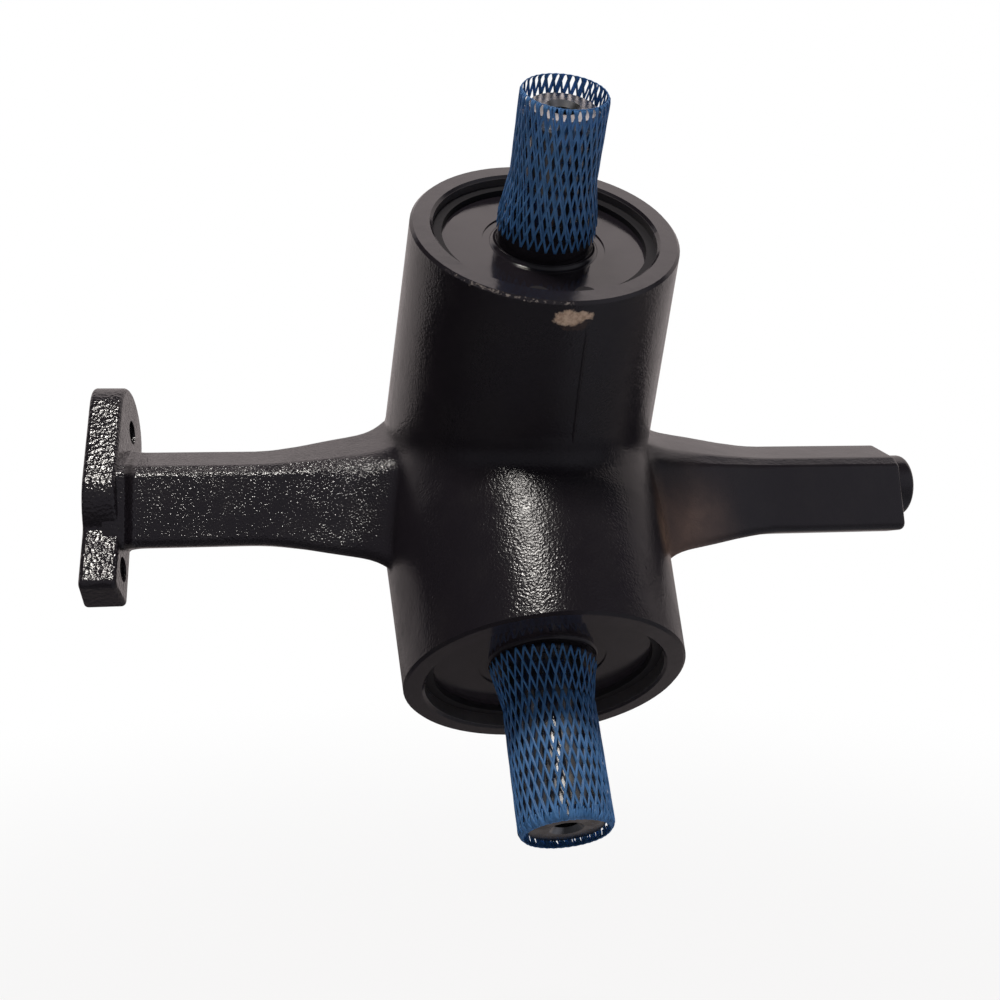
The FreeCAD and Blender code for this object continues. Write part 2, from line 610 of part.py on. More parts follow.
def oil_seal(side):
    """Rubber-covered case with a dust lip that leans out along the shaft."""
    inner = f"{COVER_SEAT[side]} + dim.seal_step"
    outer = f"{COVER_FACE[side]} - dim.seal_sink"
    lip = f"dim.{side}_journal_radius + dim.slip_clearance"
    body = turned(f"{side}_seal_ring", [
        (f"dim.{side}_seal_radius", inner),
        (f"dim.{side}_seal_radius", outer),
        (f"{lip} + 3 * dim.seal_sink", outer),
        (f"{lip} + 2 * dim.seal_sink", f"{outer} - 2 * dim.seal_sink"),
        (lip, f"{outer} - dim.seal_sink"),
        (lip, inner),
    ])
    keep(on_shaft(body, side), f"{side}_oil_seal")


def retaining_ring(side):
    """Internal ring with two eared ends; its gap lies at the front."""
    face = COVER_FACE[side]
    outside = f"dim.{side}_recess_radius + dim.ring_groove - dim.slip_clearance"
    body = turned(f"{side}_ring", [
        (f"{outside} - dim.ring_height", face),
        (outside, face),
        (outside, f"{face} + dim.ring_thickness"),
        (f"{outside} - dim.ring_height", f"{face} + dim.ring_thickness"),
    ], "360 - dim.ring_gap")
    lug_circle = f"({outside} - dim.ring_height)"
    for end, angle in (("first", "0"), ("last", "-dim.ring_gap")):
        place = at(f"{lug_circle} * cos({angle})", f"{lug_circle} * sin({angle})", face)
        for kind, radius in (("Additive", "dim.ring_lug_radius"), ("Subtractive", "dim.ring_hole_radius")):
            lug = body.newObject(f"PartDesign::{kind}Cylinder", f"{side}_{end}_{kind}_lug")
            attach(lug, body, "XY_Plane", place)
            bind(lug, Radius=radius, Height="dim.ring_thickness")
            doc.recompute()
    keep(on_shaft(body, side, f"{MESH_TURN[side]} + dim.ring_gap / 2"), f"{side}_retaining_ring")


def shim(side):
    body = turned(f"{side}_shim_ring", [
        (f"dim.{side}_bearing_outer - dim.shim_width", OUTER_CUP_SEAT[side]),
        (f"dim.{side}_bearing_outer", OUTER_CUP_SEAT[side]),
        (f"dim.{side}_bearing_outer", COVER_SEAT[side]),
        (f"dim.{side}_bearing_outer - dim.shim_width", COVER_SEAT[side]),
    ])
    keep(on_shaft(body, side), f"{side}_shim")


# Tapered roller bearings. Cup raceway, rollers and cone raceway share one apex on the axis,
# so offsets are counted from the cup's back face towards the cone's back face.

TILT = "((dim.cup_angle + dim.cone_angle) / 2)"
TAPER = "((dim.cup_angle - dim.cone_angle) / 2)"


def bearing(side, place, back, way):
    name = f"{side}_{place}_bearing"
    width, cup_width, cone_width = (f"dim.{side}_{part}_width" for part in ("bearing", "cup", "cone"))
    bore, length = f"dim.{side}_bearing_bore", f"dim.{side}_roller_length"
    middle = f"({cup_width} / 2 + dim.roller_advance)"
    apex = f"(dim.{side}_roller_circle / tan({TILT}) - {middle})"
    first = f"(dim.{side}_roller_circle / sin({TILT}) - {length} / 2)"
    small_end = f"{first} * tan({TAPER})"
    large_end = f"({first} + {length}) * tan({TAPER})"
    half_reach = f"{length} / 2 * cos({TILT})"
    gap = "dim.cage_room"

    def along(offset):
        return f"{back} + ({way}) * ({offset})"

    def race(offset, angle):
        return f"({offset} + {apex}) * tan({angle})"

    cup = turned(f"{name}_outer_ring", [
        (f"dim.{side}_bearing_outer", along("0")),
        (f"dim.{side}_bearing_outer", along(cup_width)),
        (race(cup_width, "dim.cup_angle"), along(cup_width)),
        (race("0", "dim.cup_angle"), along("0")),
    ])
    keep(on_shaft(cup, side), f"{name}_cup")

    rib_lean = f"dim.small_rib * tan({TILT})"
    groove_start = f"({middle} - {half_reach} + {small_end} * sin({TILT}) - {rib_lean} - {gap})"
    groove_end = f"({middle} + {half_reach} + {large_end} * sin({TILT}) + {gap})"
    cone_start = f"({width} - {cone_width})"
    cone = turned(f"{name}_inner_ring", [
        (bore, along(cone_start)),
        (f"{race(groove_start, 'dim.cone_angle')} + dim.small_rib", along(cone_start)),
        (f"{race(groove_start, 'dim.cone_angle')} + dim.small_rib", along(groove_start)),
        (race(groove_start, "dim.cone_angle"), along(groove_start)),
        (race(groove_end, "dim.cone_angle"), along(groove_end)),
        (f"{race(groove_end, 'dim.cone_angle')} + dim.large_rib", along(groove_end)),
        (f"{race(groove_end, 'dim.cone_angle')} + dim.large_rib", along(width)),
        (bore, along(width)),
    ])
    keep(on_shaft(cone, side), f"{name}_cone")

    def roller_shape(body, kind, feature_name, room):
        """Tapered roller, or its pocket with room to spare."""
        start = f"({first} - {room})"
        end = f"({first} + {length} + {room})"
        spare = f"{room} - dim.roller_clearance"
        turn = TILT if way == "1" else f"180 - {TILT}"
        foot = f"vector({start} * sin({TILT}); 0; {along(f'{start} * cos({TILT}) - {apex}')})"
        feature = body.newObject(f"PartDesign::{kind}Cone", feature_name)
        attach(feature, body, "XY_Plane", f"placement({foot}; rotation(vector(0; 1; 0); {turn}))")
        bind(feature, Radius1=f"{start} * tan({TAPER}) + {spare}")
        bind(feature, Radius2=f"{end} * tan({TAPER}) + {spare}")
        bind(feature, Height=f"{length} + 2 * {room}")
        doc.recompute()
        repeat(body, feature, "dim.roller_count")

    rollers = doc.addObject("PartDesign::Body", f"{name}_roller_set")
    rollers.AllowCompound = True
    roller_shape(rollers, "Additive", f"{name}_roller", "0")
    keep(on_shaft(rollers, side), f"{name}_rollers")

    cage_start = f"({middle} - {half_reach} - dim.cage_overhang)"
    cage_end = f"({middle} + {half_reach} + dim.cage_overhang)"
    cage = turned(f"{name}_cage_ring", [
        (f"{race(cage_start, TILT)} + dim.cage_lift", along(cage_start)),
        (f"{race(cage_start, TILT)} + dim.cage_lift + dim.cage_thickness", along(cage_start)),
        (f"{race(cage_end, TILT)} + dim.cage_lift + dim.cage_thickness", along(cage_end)),
        (f"{race(cage_end, TILT)} + dim.cage_lift", along(cage_end)),
    ])
    roller_shape(cage, "Subtractive", f"{name}_pocket", gap)
    keep(on_shaft(cage, side), f"{name}_cage")


def cone_spacer(side):
    """Sleeve between the backs of the two bearing cones."""
    start = f"dim.inner_seat + dim.{side}_bearing_width"
    end = f"{OUTER_CUP_SEAT[side]} - dim.{side}_bearing_width"
    bore = f"dim.{side}_bearing_bore"
    body = turned(f"{side}_spacer_sleeve", [
        (bore, start),
        (f"{bore} + dim.spacer_thickness", start),
        (f"{bore} + dim.spacer_thickness", end),
        (bore, end),
    ])
    keep(on_shaft(body, side), f"{side}_cone_spacer")


# Bevel gears. Every tooth surface is a cone of straight lines through the crossing point.

PITCH_ANGLE = "(90 - dim.half_angle)"
PITCH_RADIUS = "(dim.tooth_count * dim.tooth_module / 2)"
CONE_LENGTH = f"({PITCH_RADIUS} / sin({PITCH_ANGLE}))"
TOE = f"(1 - dim.tooth_face / {CONE_LENGTH})"


def back_cone(height):
    """Radius and place of a point on the gear's back cone, height above the pitch line."""
    radius = f"({PITCH_RADIUS} + ({height}) * cos({PITCH_ANGLE}))"
    place = f"({CONE_LENGTH} * cos({PITCH_ANGLE}) - ({height}) * sin({PITCH_ANGLE}))"
    return radius, place


ROOT_RADIUS, ROOT_PLACE = back_cone("-dim.tooth_dedendum * dim.tooth_module")
TIP_RADIUS, TIP_PLACE = back_cone("dim.tooth_module")
GEAR_FRONT = f"({ROOT_PLACE} * {TOE})"


KEY_START = f"(({GEAR_FRONT} + dim.inner_seat - dim.gear_back_gap - dim.key_length) / 2)"
KEY_CORNER = at("dim.gear_bore - dim.key_height / 2", "-dim.key_width / 2", KEY_START)


def involute(angle):
    return math.tan(angle) - angle


def tooth_gap():
    """Solid of one gap between two teeth, centred on the XZ plane."""
    points_per_flank = 7
    pitch_angle = math.radians(number(PITCH_ANGLE))
    cone_length = number(CONE_LENGTH)
    module = number("dim.tooth_module")
    pressure = math.radians(number("dim.pressure_angle"))
    pitch = cone_length * math.tan(pitch_angle)
    base = pitch * math.cos(pressure)
    root = pitch - module * number("dim.tooth_dedendum")
    tip = pitch + module * 1.4
    half_gap = (math.pi * module / 2 + number("dim.tooth_backlash")) / (2 * pitch)

    def ray(radius, sign):
        """Point of the flank on the back cone, as seen from the crossing point."""
        slope = math.acos(base / max(radius, base))
        angle = half_gap + involute(slope) - involute(pressure)
        turn = sign * angle / math.cos(pitch_angle)
        across = radius * math.cos(pitch_angle)
        along = cone_length / math.cos(pitch_angle) - radius * math.sin(pitch_angle)
        return Vector(across * math.cos(turn), across * math.sin(turn), along)

    centre = Vector(math.sin(pitch_angle), 0, math.cos(pitch_angle))
    step = (tip - root) / (points_per_flank - 1)
    radii = [root + step * index for index in range(points_per_flank)]
    outlines = []
    for reach in (number(f"{CONE_LENGTH} * {TOE}") * 0.85, cone_length * 1.15):
        flanks = []
        for sign in (1, -1):
            rays = [ray(radius, sign) for radius in radii]
            flank = Part.BSplineCurve()
            flank.interpolate([point * (reach / point.dot(centre)) for point in rays])
            flanks.append(flank)
        left, right = flanks
        edges = [
            left.toShape(),
            Part.LineSegment(left.EndPoint, right.EndPoint).toShape(),
            right.toShape(),
            Part.LineSegment(right.StartPoint, left.StartPoint).toShape(),
        ]
        outlines.append(Part.Wire(Part.__sortEdges__(edges)))
    return Part.makeLoft(outlines, True, True)


def bevel_gear(side, gap):
    blank = turned(f"{side}_gear_blank", [
        ("dim.gear_bore", GEAR_FRONT),
        (f"{ROOT_RADIUS} * {TOE}", GEAR_FRONT),
        (f"{TIP_RADIUS} * {TOE}", f"{TIP_PLACE} * {TOE}"),
        (TIP_RADIUS, TIP_PLACE),
        (ROOT_RADIUS, ROOT_PLACE),
        (ROOT_RADIUS, "dim.inner_seat - dim.gear_back_gap"),
        ("dim.gear_hub_radius", "dim.inner_seat - dim.gear_back_gap"),
        ("dim.gear_hub_radius", INNER_CONE_FACE[side]),
        ("dim.gear_bore", INNER_CONE_FACE[side]),
    ])
    keyway = blank.newObject("PartDesign::SubtractiveBox", f"{side}_gear_keyway")
    attach(keyway, blank, "XY_Plane", at("0", "-dim.key_width / 2", GEAR_FRONT))
    bind(keyway, Length="dim.gear_bore + dim.key_height / 2")
    bind(keyway, Width="dim.key_width", Height="dim.inner_seat")
    pitch = 360 / number("dim.tooth_count")
    # The upper gear has a tooth on the mesh line, the lower gear a gap
    first = MESH_TURN[side] + (pitch / 2 if side == "upper" else 0)
    gaps = doc.addObject("Part::Feature", f"{side}_tooth_gaps")
    copies = []
    for index in range(int(number("dim.tooth_count"))):
        copies.append(gap.rotated(Vector(0, 0, 0), Vector(0, 0, 1), first + index * pitch))
    gaps.Shape = Part.Compound(copies)
    on_shaft(blank, side)
    on_shaft(gaps, side)
    gear = doc.addObject("Part::Cut", f"{side}_gear")
    gear.Base = blank
    gear.Tool = gaps
    keep(gear, f"{side}_bevel_gear")


def gear_fixings(side):
    """Key, lock washer and slotted nut that hold a gear on its shaft."""
    key = doc.addObject("Part::Box", f"{side}_key")
    bind(key, Length="dim.key_height", Width="dim.key_width", Height="dim.key_length")
    lean = f"rotation(vector(1; 0; 0); {LEAN[side]})"
    bind(key, Placement=f"placement({CENTRE}; {lean}) * {KEY_CORNER}")
    keep(key, f"{side}_gear_key")
    washer = turned(f"{side}_washer_ring", [
        ("dim.thread_radius", f"{GEAR_FRONT} - dim.washer_thickness"),
        ("dim.nut_radius", f"{GEAR_FRONT} - dim.washer_thickness"),
        ("dim.nut_radius", GEAR_FRONT),
        ("dim.thread_radius", GEAR_FRONT),
    ])
    keep(on_shaft(washer, side), f"{side}_lock_washer")
    nut_start = f"({GEAR_FRONT} - dim.washer_thickness - dim.nut_thickness)"
    nut = turned(f"{side}_nut_ring", [
        ("dim.thread_radius", nut_start),
        ("dim.nut_radius", nut_start),
        ("dim.nut_radius", f"{nut_start} + dim.nut_thickness"),
        ("dim.thread_radius", f"{nut_start} + dim.nut_thickness"),
    ])
    slot = nut.newObject("PartDesign::SubtractiveBox", f"{side}_nut_slot")
    depth = "(dim.nut_radius - dim.thread_radius) / 3"
    attach(slot, nut, "XY_Plane", at(f"dim.nut_radius - {depth}", "-dim.nut_slot / 2", nut_start))
    bind(slot, Length="dim.nut_radius", Width="dim.nut_slot", Height="dim.nut_thickness")
    doc.recompute()
    repeat(nut, slot, "4")
    keep(on_shaft(nut, side), f"{side}_gear_nut")


# Shafts with their splines, and the nets over them

def spline_gap(body, side):
    """Straight-sided gap between two spline teeth, cut from the shaft's end."""
    outer, root = f"dim.{side}_spline_radius", f"dim.{side}_spline_root"
    half_tooth = f"dim.{side}_spline_tooth / 2"
    step = f"(360 / dim.{side}_spline_teeth)"
    near_x, far_x = f"sqrt({root} ^ 2 - ({half_tooth}) ^ 2)", f"{outer} * 1.2"
    points = [(near_x, half_tooth), (far_x, half_tooth)]
    for across, along in reversed(list(points)):
        # The same corner on the next tooth, which is a mirror image turned by one step
        turned_x = f"{across} * cos({step}) + {along} * sin({step})"
        turned_y = f"{across} * sin({step}) - {along} * cos({step})"
        points.append((turned_x, turned_y))
    sketch = body.newObject("Sketcher::SketchObject", f"{side}_spline_gap_outline")
    turn = f"rotation(vector(0; 0; 1); dim.{side}_spline_turn)"
    attach(sketch, body, "XY_Plane", f"placement(vector(0; 0; dim.{side}_shaft_end); {turn})")
    first, second, third, fourth = [Vector(number(across), number(along), 0) for across, along in points]
    middle = (first + fourth).normalize() * number(root)
    sketch.addGeometry(Part.LineSegment(first, second))
    sketch.addGeometry(Part.LineSegment(second, third))
    sketch.addGeometry(Part.LineSegment(third, fourth))
    sketch.addGeometry(Part.Arc(first, middle, fourth))
    arc_ends = sorted(((sketch.getPoint(3, end) - first).Length, end) for end in (1, 2))
    near_end, far_end = arc_ends[0][1], arc_ends[1][1]
    joins = ((0, 2, 1, 1), (1, 2, 2, 1), (2, 2, 3, far_end), (3, near_end, 0, 1))
    for join in joins:
        sketch.addConstraint(Sketcher.Constraint("Coincident", *join))
    sketch.addConstraint(Sketcher.Constraint("Coincident", 3, 3, -1, 1))
    measures = [
        (Sketcher.Constraint("Radius", 3, number(root)), root),
        (Sketcher.Constraint("DistanceY", -1, 1, 0, 1, first.y), points[0][1]),
        (Sketcher.Constraint("DistanceX", -1, 1, 0, 2, second.x), points[1][0]),
        (Sketcher.Constraint("DistanceY", -1, 1, 0, 2, second.y), points[1][1]),
        (Sketcher.Constraint("DistanceX", -1, 1, 1, 2, third.x), points[2][0]),
        (Sketcher.Constraint("DistanceY", -1, 1, 1, 2, third.y), points[2][1]),
        (Sketcher.Constraint("DistanceX", -1, 1, 2, 2, fourth.x), points[3][0]),
    ]
    for constraint, expression in measures:
        place = sketch.addConstraint(constraint)
        sketch.setExpression(f"Constraints[{place}]", expression)
    pocket = body.newObject("PartDesign::Pocket", f"{side}_spline_gap")
    pocket.Profile = sketch
    bind(pocket, Length=f"dim.{side}_shaft_end - dim.{side}_spline_start")
    doc.recompute()
    repeat(body, pocket, f"dim.{side}_spline_teeth")


def shaft(side):
    seat, journal = f"dim.{side}_bearing_bore", f"dim.{side}_journal_radius"
    outer, end = f"dim.{side}_spline_radius", f"dim.{side}_shaft_end"
    ring_start = OUTER_CONE_FACE[side]
    ring_end = f"{ring_start} + dim.shaft_ring_thickness"
    countersink = "(dim.centre_mouth_radius - dim.centre_hole_radius)"
    body = turned(f"{side}_turned_shaft", [
        ("0", "dim.thread_end"),
        ("dim.thread_radius", "dim.thread_end"),
        ("dim.thread_radius", GEAR_FRONT),
        ("dim.gear_bore", GEAR_FRONT),
        ("dim.gear_bore", INNER_CONE_FACE[side]),
        (seat, INNER_CONE_FACE[side]),
        (seat, ring_start),
        (f"{seat} - dim.shaft_ring_groove", ring_start),
        (f"{seat} - dim.shaft_ring_groove", ring_end),
        (seat, ring_end),
        (seat, f"{ring_end} + dim.shaft_ring_land"),
        (journal, f"{ring_end} + dim.shaft_ring_land"),
        (journal, f"dim.{side}_spline_start"),
        (outer, f"dim.{side}_spline_start"),
        (outer, f"{end} - dim.spline_chamfer"),
        (f"{outer} - dim.spline_chamfer", end),
        ("dim.centre_mouth_radius", end),
        ("dim.centre_hole_radius", f"{end} - {countersink}"),
        ("dim.centre_hole_radius", f"{end} - dim.centre_hole_depth"),
        ("0", f"{end} - dim.centre_hole_depth - dim.centre_hole_radius / 2"),
    ])
    keyseat = body.newObject("PartDesign::SubtractiveBox", f"{side}_keyseat")
    attach(keyseat, body, "XY_Plane", KEY_CORNER)
    bind(keyseat, Length="dim.key_height", Width="dim.key_width", Height="dim.key_length")
    doc.recompute()
    spline_gap(body, side)
    keep(on_shaft(body, side), f"{side}_shaft")
    ring = turned(f"{side}_seat_ring", [
        (f"{seat} - dim.shaft_ring_groove", ring_start),
        (f"{seat} + dim.shaft_ring_height", ring_start),
        (f"{seat} + dim.shaft_ring_height", ring_end),
        (f"{seat} - dim.shaft_ring_groove", ring_end),
    ], "360 - dim.ring_gap")
    keep(on_shaft(ring, side), f"{side}_shaft_ring")


def net(side):
    """Sleeve over the spline, wider where it reaches over the journal."""
    tube = f"dim.{side}_spline_radius + dim.net_clearance"
    foot = f"dim.{side}_journal_radius + dim.net_clearance"
    wall = f"dim.{side}_net_wall"
    start, end = f"dim.{side}_net_start", f"dim.{side}_net_end"
    flare_start = f"dim.{side}_spline_start + dim.net_clearance"
    flare_end = f"{flare_start} + dim.net_flare"
    body = turned(f"{side}_sleeve", [
        (foot, start),
        (f"{foot} + {wall}", start),
        (f"{foot} + {wall}", flare_start),
        (f"{tube} + {wall}", flare_end),
        (f"{tube} + {wall}", end),
        (tube, end),
        (tube, flare_end),
        (foot, flare_start),
    ])
    keep(on_shaft(body, side), f"{side}_net")


housing()
filler_plug()
one_gap = tooth_gap()
for side in SIDES:
    end_cover(side)
    oil_seal(side)
    retaining_ring(side)
    shim(side)
    bearing(side, "inner", "dim.inner_seat", "1")
    bearing(side, "outer", OUTER_CUP_SEAT[side], "-1")
    cone_spacer(side)
    bevel_gear(side, one_gap)
    gear_fixings(side)
    shaft(side)
    net(side)
doc.recompute()

for feature in doc.Objects:
    if "Invalid" in feature.State or "Error" in feature.State:
        raise RuntimeError(f"{feature.Label} failed to build: {feature.State}")
for feature in sub_parts:
    if feature.Shape.isNull() or not feature.Shape.isValid():
        raise RuntimeError(f"{feature.Label} has no valid shape")
os.makedirs("parts", exist_ok=True)
for feature in sub_parts:
    feature.Shape.exportStep(f"parts/{feature.Label}.step")
print(len(sub_parts), "sub-parts written")
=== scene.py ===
import bpy
import json
import math
import random
from mathutils import Matrix, Vector


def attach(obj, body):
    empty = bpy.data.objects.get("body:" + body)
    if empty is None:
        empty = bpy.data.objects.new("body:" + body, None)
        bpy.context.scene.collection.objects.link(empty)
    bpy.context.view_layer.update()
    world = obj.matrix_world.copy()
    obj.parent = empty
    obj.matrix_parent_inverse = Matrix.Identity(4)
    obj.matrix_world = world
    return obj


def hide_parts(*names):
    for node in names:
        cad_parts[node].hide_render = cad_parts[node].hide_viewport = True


# Looks of the auger gearbox: gloss black paint over a rough casting, steel splines and blue
# plastic nets. Lengths are in metres. A place along a shaft counts from the crossing point.

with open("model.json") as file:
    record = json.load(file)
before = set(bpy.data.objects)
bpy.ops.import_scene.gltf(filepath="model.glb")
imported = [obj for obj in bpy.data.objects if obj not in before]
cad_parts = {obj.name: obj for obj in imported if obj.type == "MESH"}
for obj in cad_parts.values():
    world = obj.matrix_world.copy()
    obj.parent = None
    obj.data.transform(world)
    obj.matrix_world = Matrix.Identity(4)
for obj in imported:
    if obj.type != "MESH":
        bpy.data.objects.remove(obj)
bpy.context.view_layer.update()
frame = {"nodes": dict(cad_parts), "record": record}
MM = 0.001
LEAN = math.radians(37.5)
CROSSING = Vector((0.194, 0.024 * math.sin(LEAN), 0.024 * math.cos(LEAN)))
SIDES = ("upper", "lower")
AXIS = {
    "upper": Vector((0, -math.sin(LEAN), math.cos(LEAN))),
    "lower": Vector((0, -math.sin(LEAN), -math.cos(LEAN))),
}
# Direction across each barrel that looks to the front
FRONT = {
    "upper": Vector((0, -math.cos(LEAN), -math.sin(LEAN))),
    "lower": Vector((0, -math.cos(LEAN), math.sin(LEAN))),
}
RIM = {"upper": 122.0 * MM, "lower": 118.5 * MM}
RIM_RADIUS = {"upper": 56.5 * MM, "lower": 60.9 * MM}
MOUTH_RADIUS = {"upper": 47.1 * MM, "lower": 51.7 * MM}
DRAFT = math.tan(math.radians(3.0))
SPLINE_START = {"upper": 128.0 * MM, "lower": 113.0 * MM}
SHAFT_END = {"upper": 174.5 * MM, "lower": 183.2 * MM}
# Inner face of the flange and the hollow between it and the arm
FLANGE_FACE = 17.0 * MM
FOOT_HOLLOW = 6.0 * MM


# Small helpers for shader nodes. A value is a number, a colour or another node's output.

class Shader:
    """Node tree of one material, built a node at a time."""

    def __init__(self, name):
        self.material = bpy.data.materials.new(name)
        self.material.use_nodes = True
        self.tree = self.material.node_tree
        self.tree.nodes.clear()
        self.out = self.tree.nodes.new("ShaderNodeOutputMaterial")
        self.place = self.node("ShaderNodeTexCoord").outputs["Object"]

    def node(self, kind, **settings):
        made = self.tree.nodes.new(kind)
        for name, value in settings.items():
            setattr(made, name, value)
        return made

    def feed(self, socket, value):
        if isinstance(value, bpy.types.NodeSocket):
            self.tree.links.new(value, socket)
        else:
            socket.default_value = value

    def maths(self, operation, *values):
        made = self.node("ShaderNodeMath", operation=operation)
        for socket, value in zip(made.inputs, values):
            self.feed(socket, value)
        return made.outputs[0]

    def add(self, first, second):
        return self.maths("ADD", first, second)

    def times(self, first, second):
        return self.maths("MULTIPLY", first, second)

    def minus(self, first, second):
        return self.maths("SUBTRACT", first, second)

    def most(self, first, second):
        return self.maths("MAXIMUM", first, second)

    def hypotenuse(self, first, second):
        return self.maths("SQRT", self.add(self.times(first, first), self.times(second, second)))

    def step(self, value, low, high, bottom=0.0, top=1.0):
        """Smooth rise from bottom at low to top at high."""
        made = self.node("ShaderNodeMapRange", interpolation_type="SMOOTHSTEP")
        for name, amount in (("Value", value), ("From Min", low), ("From Max", high), ("To Min", bottom),
                             ("To Max", top)):
            self.feed(made.inputs[name], amount)
        return made.outputs[0]

    def between(self, value, rise, fall):
        """1 after a rise and before a fall, each a pair of from and to."""
        return self.times(self.step(value, *rise), self.step(value, *fall))

    def dot(self, vector, direction):
        made = self.node("ShaderNodeVectorMath", operation="DOT_PRODUCT")
        self.feed(made.inputs[0], vector)
        self.feed(made.inputs[1], direction)
        return made.outputs["Value"]

    def shifted(self, centre):
        made = self.node("ShaderNodeVectorMath", operation="SUBTRACT")
        self.feed(made.inputs[0], self.place)
        self.feed(made.inputs[1], centre)
        return made.outputs[0]

    def stretched(self, vector, amounts):
        made = self.node("ShaderNodeVectorMath", operation="MULTIPLY")
        self.feed(made.inputs[0], vector)
        self.feed(made.inputs[1], amounts)
        return made.outputs[0]

    def along(self, side):
        """Place along a shaft, distance from its axis and the vector from that axis."""
        offset = self.shifted(CROSSING)
        place = self.dot(offset, AXIS[side])
        shadow = self.node("ShaderNodeVectorMath", operation="SCALE")
        self.feed(shadow.inputs[0], AXIS[side])
        self.feed(shadow.inputs["Scale"], place)
        rest = self.node("ShaderNodeVectorMath", operation="SUBTRACT")
        self.feed(rest.inputs[0], offset)
        self.feed(rest.inputs[1], shadow.outputs[0])
        length = self.node("ShaderNodeVectorMath", operation="LENGTH")
        self.feed(length.inputs[0], rest.outputs[0])
        return place, length.outputs["Value"], rest.outputs[0]

    def noise(self, size, detail=2.0, roughness=0.5, where=None, distortion=0.0):
        """Soft noise with lumps of about the given size."""
        made = self.node("ShaderNodeTexNoise")
        self.feed(made.inputs["Vector"], where or self.place)
        self.feed(made.inputs["Scale"], 1 / size)
        self.feed(made.inputs["Detail"], detail)
        self.feed(made.inputs["Roughness"], roughness)
        self.feed(made.inputs["Distortion"], distortion)
        return made.outputs["Fac"]

    def pebbles(self, size, smoothness=0.6, where=None):
        """Distance to the nearest pebble's middle, 0 to about 1."""
        made = self.node("ShaderNodeTexVoronoi", feature="SMOOTH_F1")
        self.feed(made.inputs["Vector"], where or self.place)
        self.feed(made.inputs["Scale"], 1 / size)
        self.feed(made.inputs["Smoothness"], smoothness)
        return made.outputs["Distance"]

    def colour(self, factor, first, second):
        made = self.node("ShaderNodeMix", data_type="RGBA")
        self.feed(made.inputs[0], factor)
        self.feed(made.inputs[6], first)
        self.feed(made.inputs[7], second)
        return made.outputs[2]

    def blend(self, factor, first, second):
        made = self.node("ShaderNodeMix", data_type="FLOAT")
        self.feed(made.inputs[0], factor)
        self.feed(made.inputs[2], first)
        self.feed(made.inputs[3], second)
        return made.outputs[0]

    def bump(self, height, depth, strength=1.0, below=None):
        made = self.node("ShaderNodeBump")
        self.feed(made.inputs["Height"], height)
        self.feed(made.inputs["Distance"], depth)
        self.feed(made.inputs["Strength"], strength)
        if below:
            self.feed(made.inputs["Normal"], below)
        return made.outputs[0]

    def surface(self, **inputs):
        """Principled surface; names have _ for spaces."""
        made = self.node("ShaderNodeBsdfPrincipled")
        for name, value in inputs.items():
            self.feed(made.inputs[name.replace("_", " ")], value)
        return made.outputs[0]

    def mix(self, share, first, second):
        """First shader, with a share of the second."""
        made = self.node("ShaderNodeMixShader")
        self.feed(made.inputs[0], share)
        self.tree.links.new(first, made.inputs[1])
        self.tree.links.new(second, made.inputs[2])
        return made.outputs[0]

    def finish(self, shader):
        self.tree.links.new(shader, self.out.inputs["Surface"])
        return self.material


def rgb(red, green, blue):
    return (red, green, blue, 1.0)


# Materials

PAINT_IOR = 1.5
BLACK = rgb(0.0122, 0.0102, 0.0132)
DUSTY = rgb(0.019, 0.0165, 0.018)
# Paler greys for the mouths' walls: painted light reflected from the covers, varied by dust
WALL_PAINTED_LIGHT_DIM = rgb(0.048, 0.044, 0.046)
WALL_PAINTED_LIGHT_PALE = rgb(0.062, 0.057, 0.058)
# Brown at the plain arm's root and along its crease: stain and rust, with a painted warm sheen
ROOT_STAIN_AND_SHEEN = rgb(0.21, 0.14, 0.115)
CREASE_RUST_AND_SHEEN = rgb(0.20, 0.13, 0.09)
PATCH_BROWN = rgb(0.050, 0.030, 0.022)
SCUFF_AND_GLINT = rgb(0.24, 0.21, 0.19)
BARE_PALE = rgb(0.50, 0.375, 0.28)
BARE_DARK = rgb(0.27, 0.185, 0.13)

# Zones of the casting. A pair runs from none of it to all of it.
LEFT_ARM_X = (0.150, 0.115)
PLAIN_ARM_X = (0.255, 0.285)
FLANGE_X = (22 * MM, 18 * MM)
ROOT_OFF_MIDDLE = ((34 * MM, 46 * MM), (92 * MM, 76 * MM))
ROOT_PLACE = (96 * MM, 80 * MM)
ROOT_ROUNDING = 7.0 * MM
# Two stretches of the upper rim's front edge: the first holds scuffs, the second a painted glint
SCUFFS_AND_GLINT_X = (((0.144, 0.152), (0.187, 0.183)), ((0.187, 0.189), (0.196, 0.194)))
STAIN_AND_SHEEN_X = ((0.246, 0.256), (0.300, 0.258))
STAIN_AND_SHEEN_HEIGHT = (0.020, -0.02)
STAIN_AND_SHEEN_PLACE = (92 * MM, 70 * MM)
CREASE_X = (0.243, 0.249)
CREASE_DEPTH = (0.01, -0.01)
DULL_PLACE = (10 * MM, 45 * MM)
DULL_OFF_MIDDLE = (84 * MM, 70 * MM)
# Ovals on the upper barrel: X of the middle, half width, place along the shaft, half height
BARE_OVALS = ((0.1945, 6.0 * MM, 115.2 * MM, 3.4 * MM), (0.1990, 4.8 * MM, 115.9 * MM, 2.2 * MM))
BROWN_OVAL = (0.1965, 6.2 * MM, 112.6 * MM, 3.4 * MM)
# Grain: size, smoothness and share of the pebbles, size, detail and share of the noise, depth
BARREL_GRAIN = (1.2 * MM, 0.5, 0.5, 0.82 * MM, 1.2, 0.75, 0.40 * MM)
LEFT_ARM_GRAIN = (1.0 * MM, 0.4, 0.6, 0.78 * MM, 1.2, 0.55, 0.48 * MM)
FLANGE_GRAIN = (1.6 * MM, 0.5, 0.8, 0.9 * MM, 1.5, 0.45, 0.46 * MM)


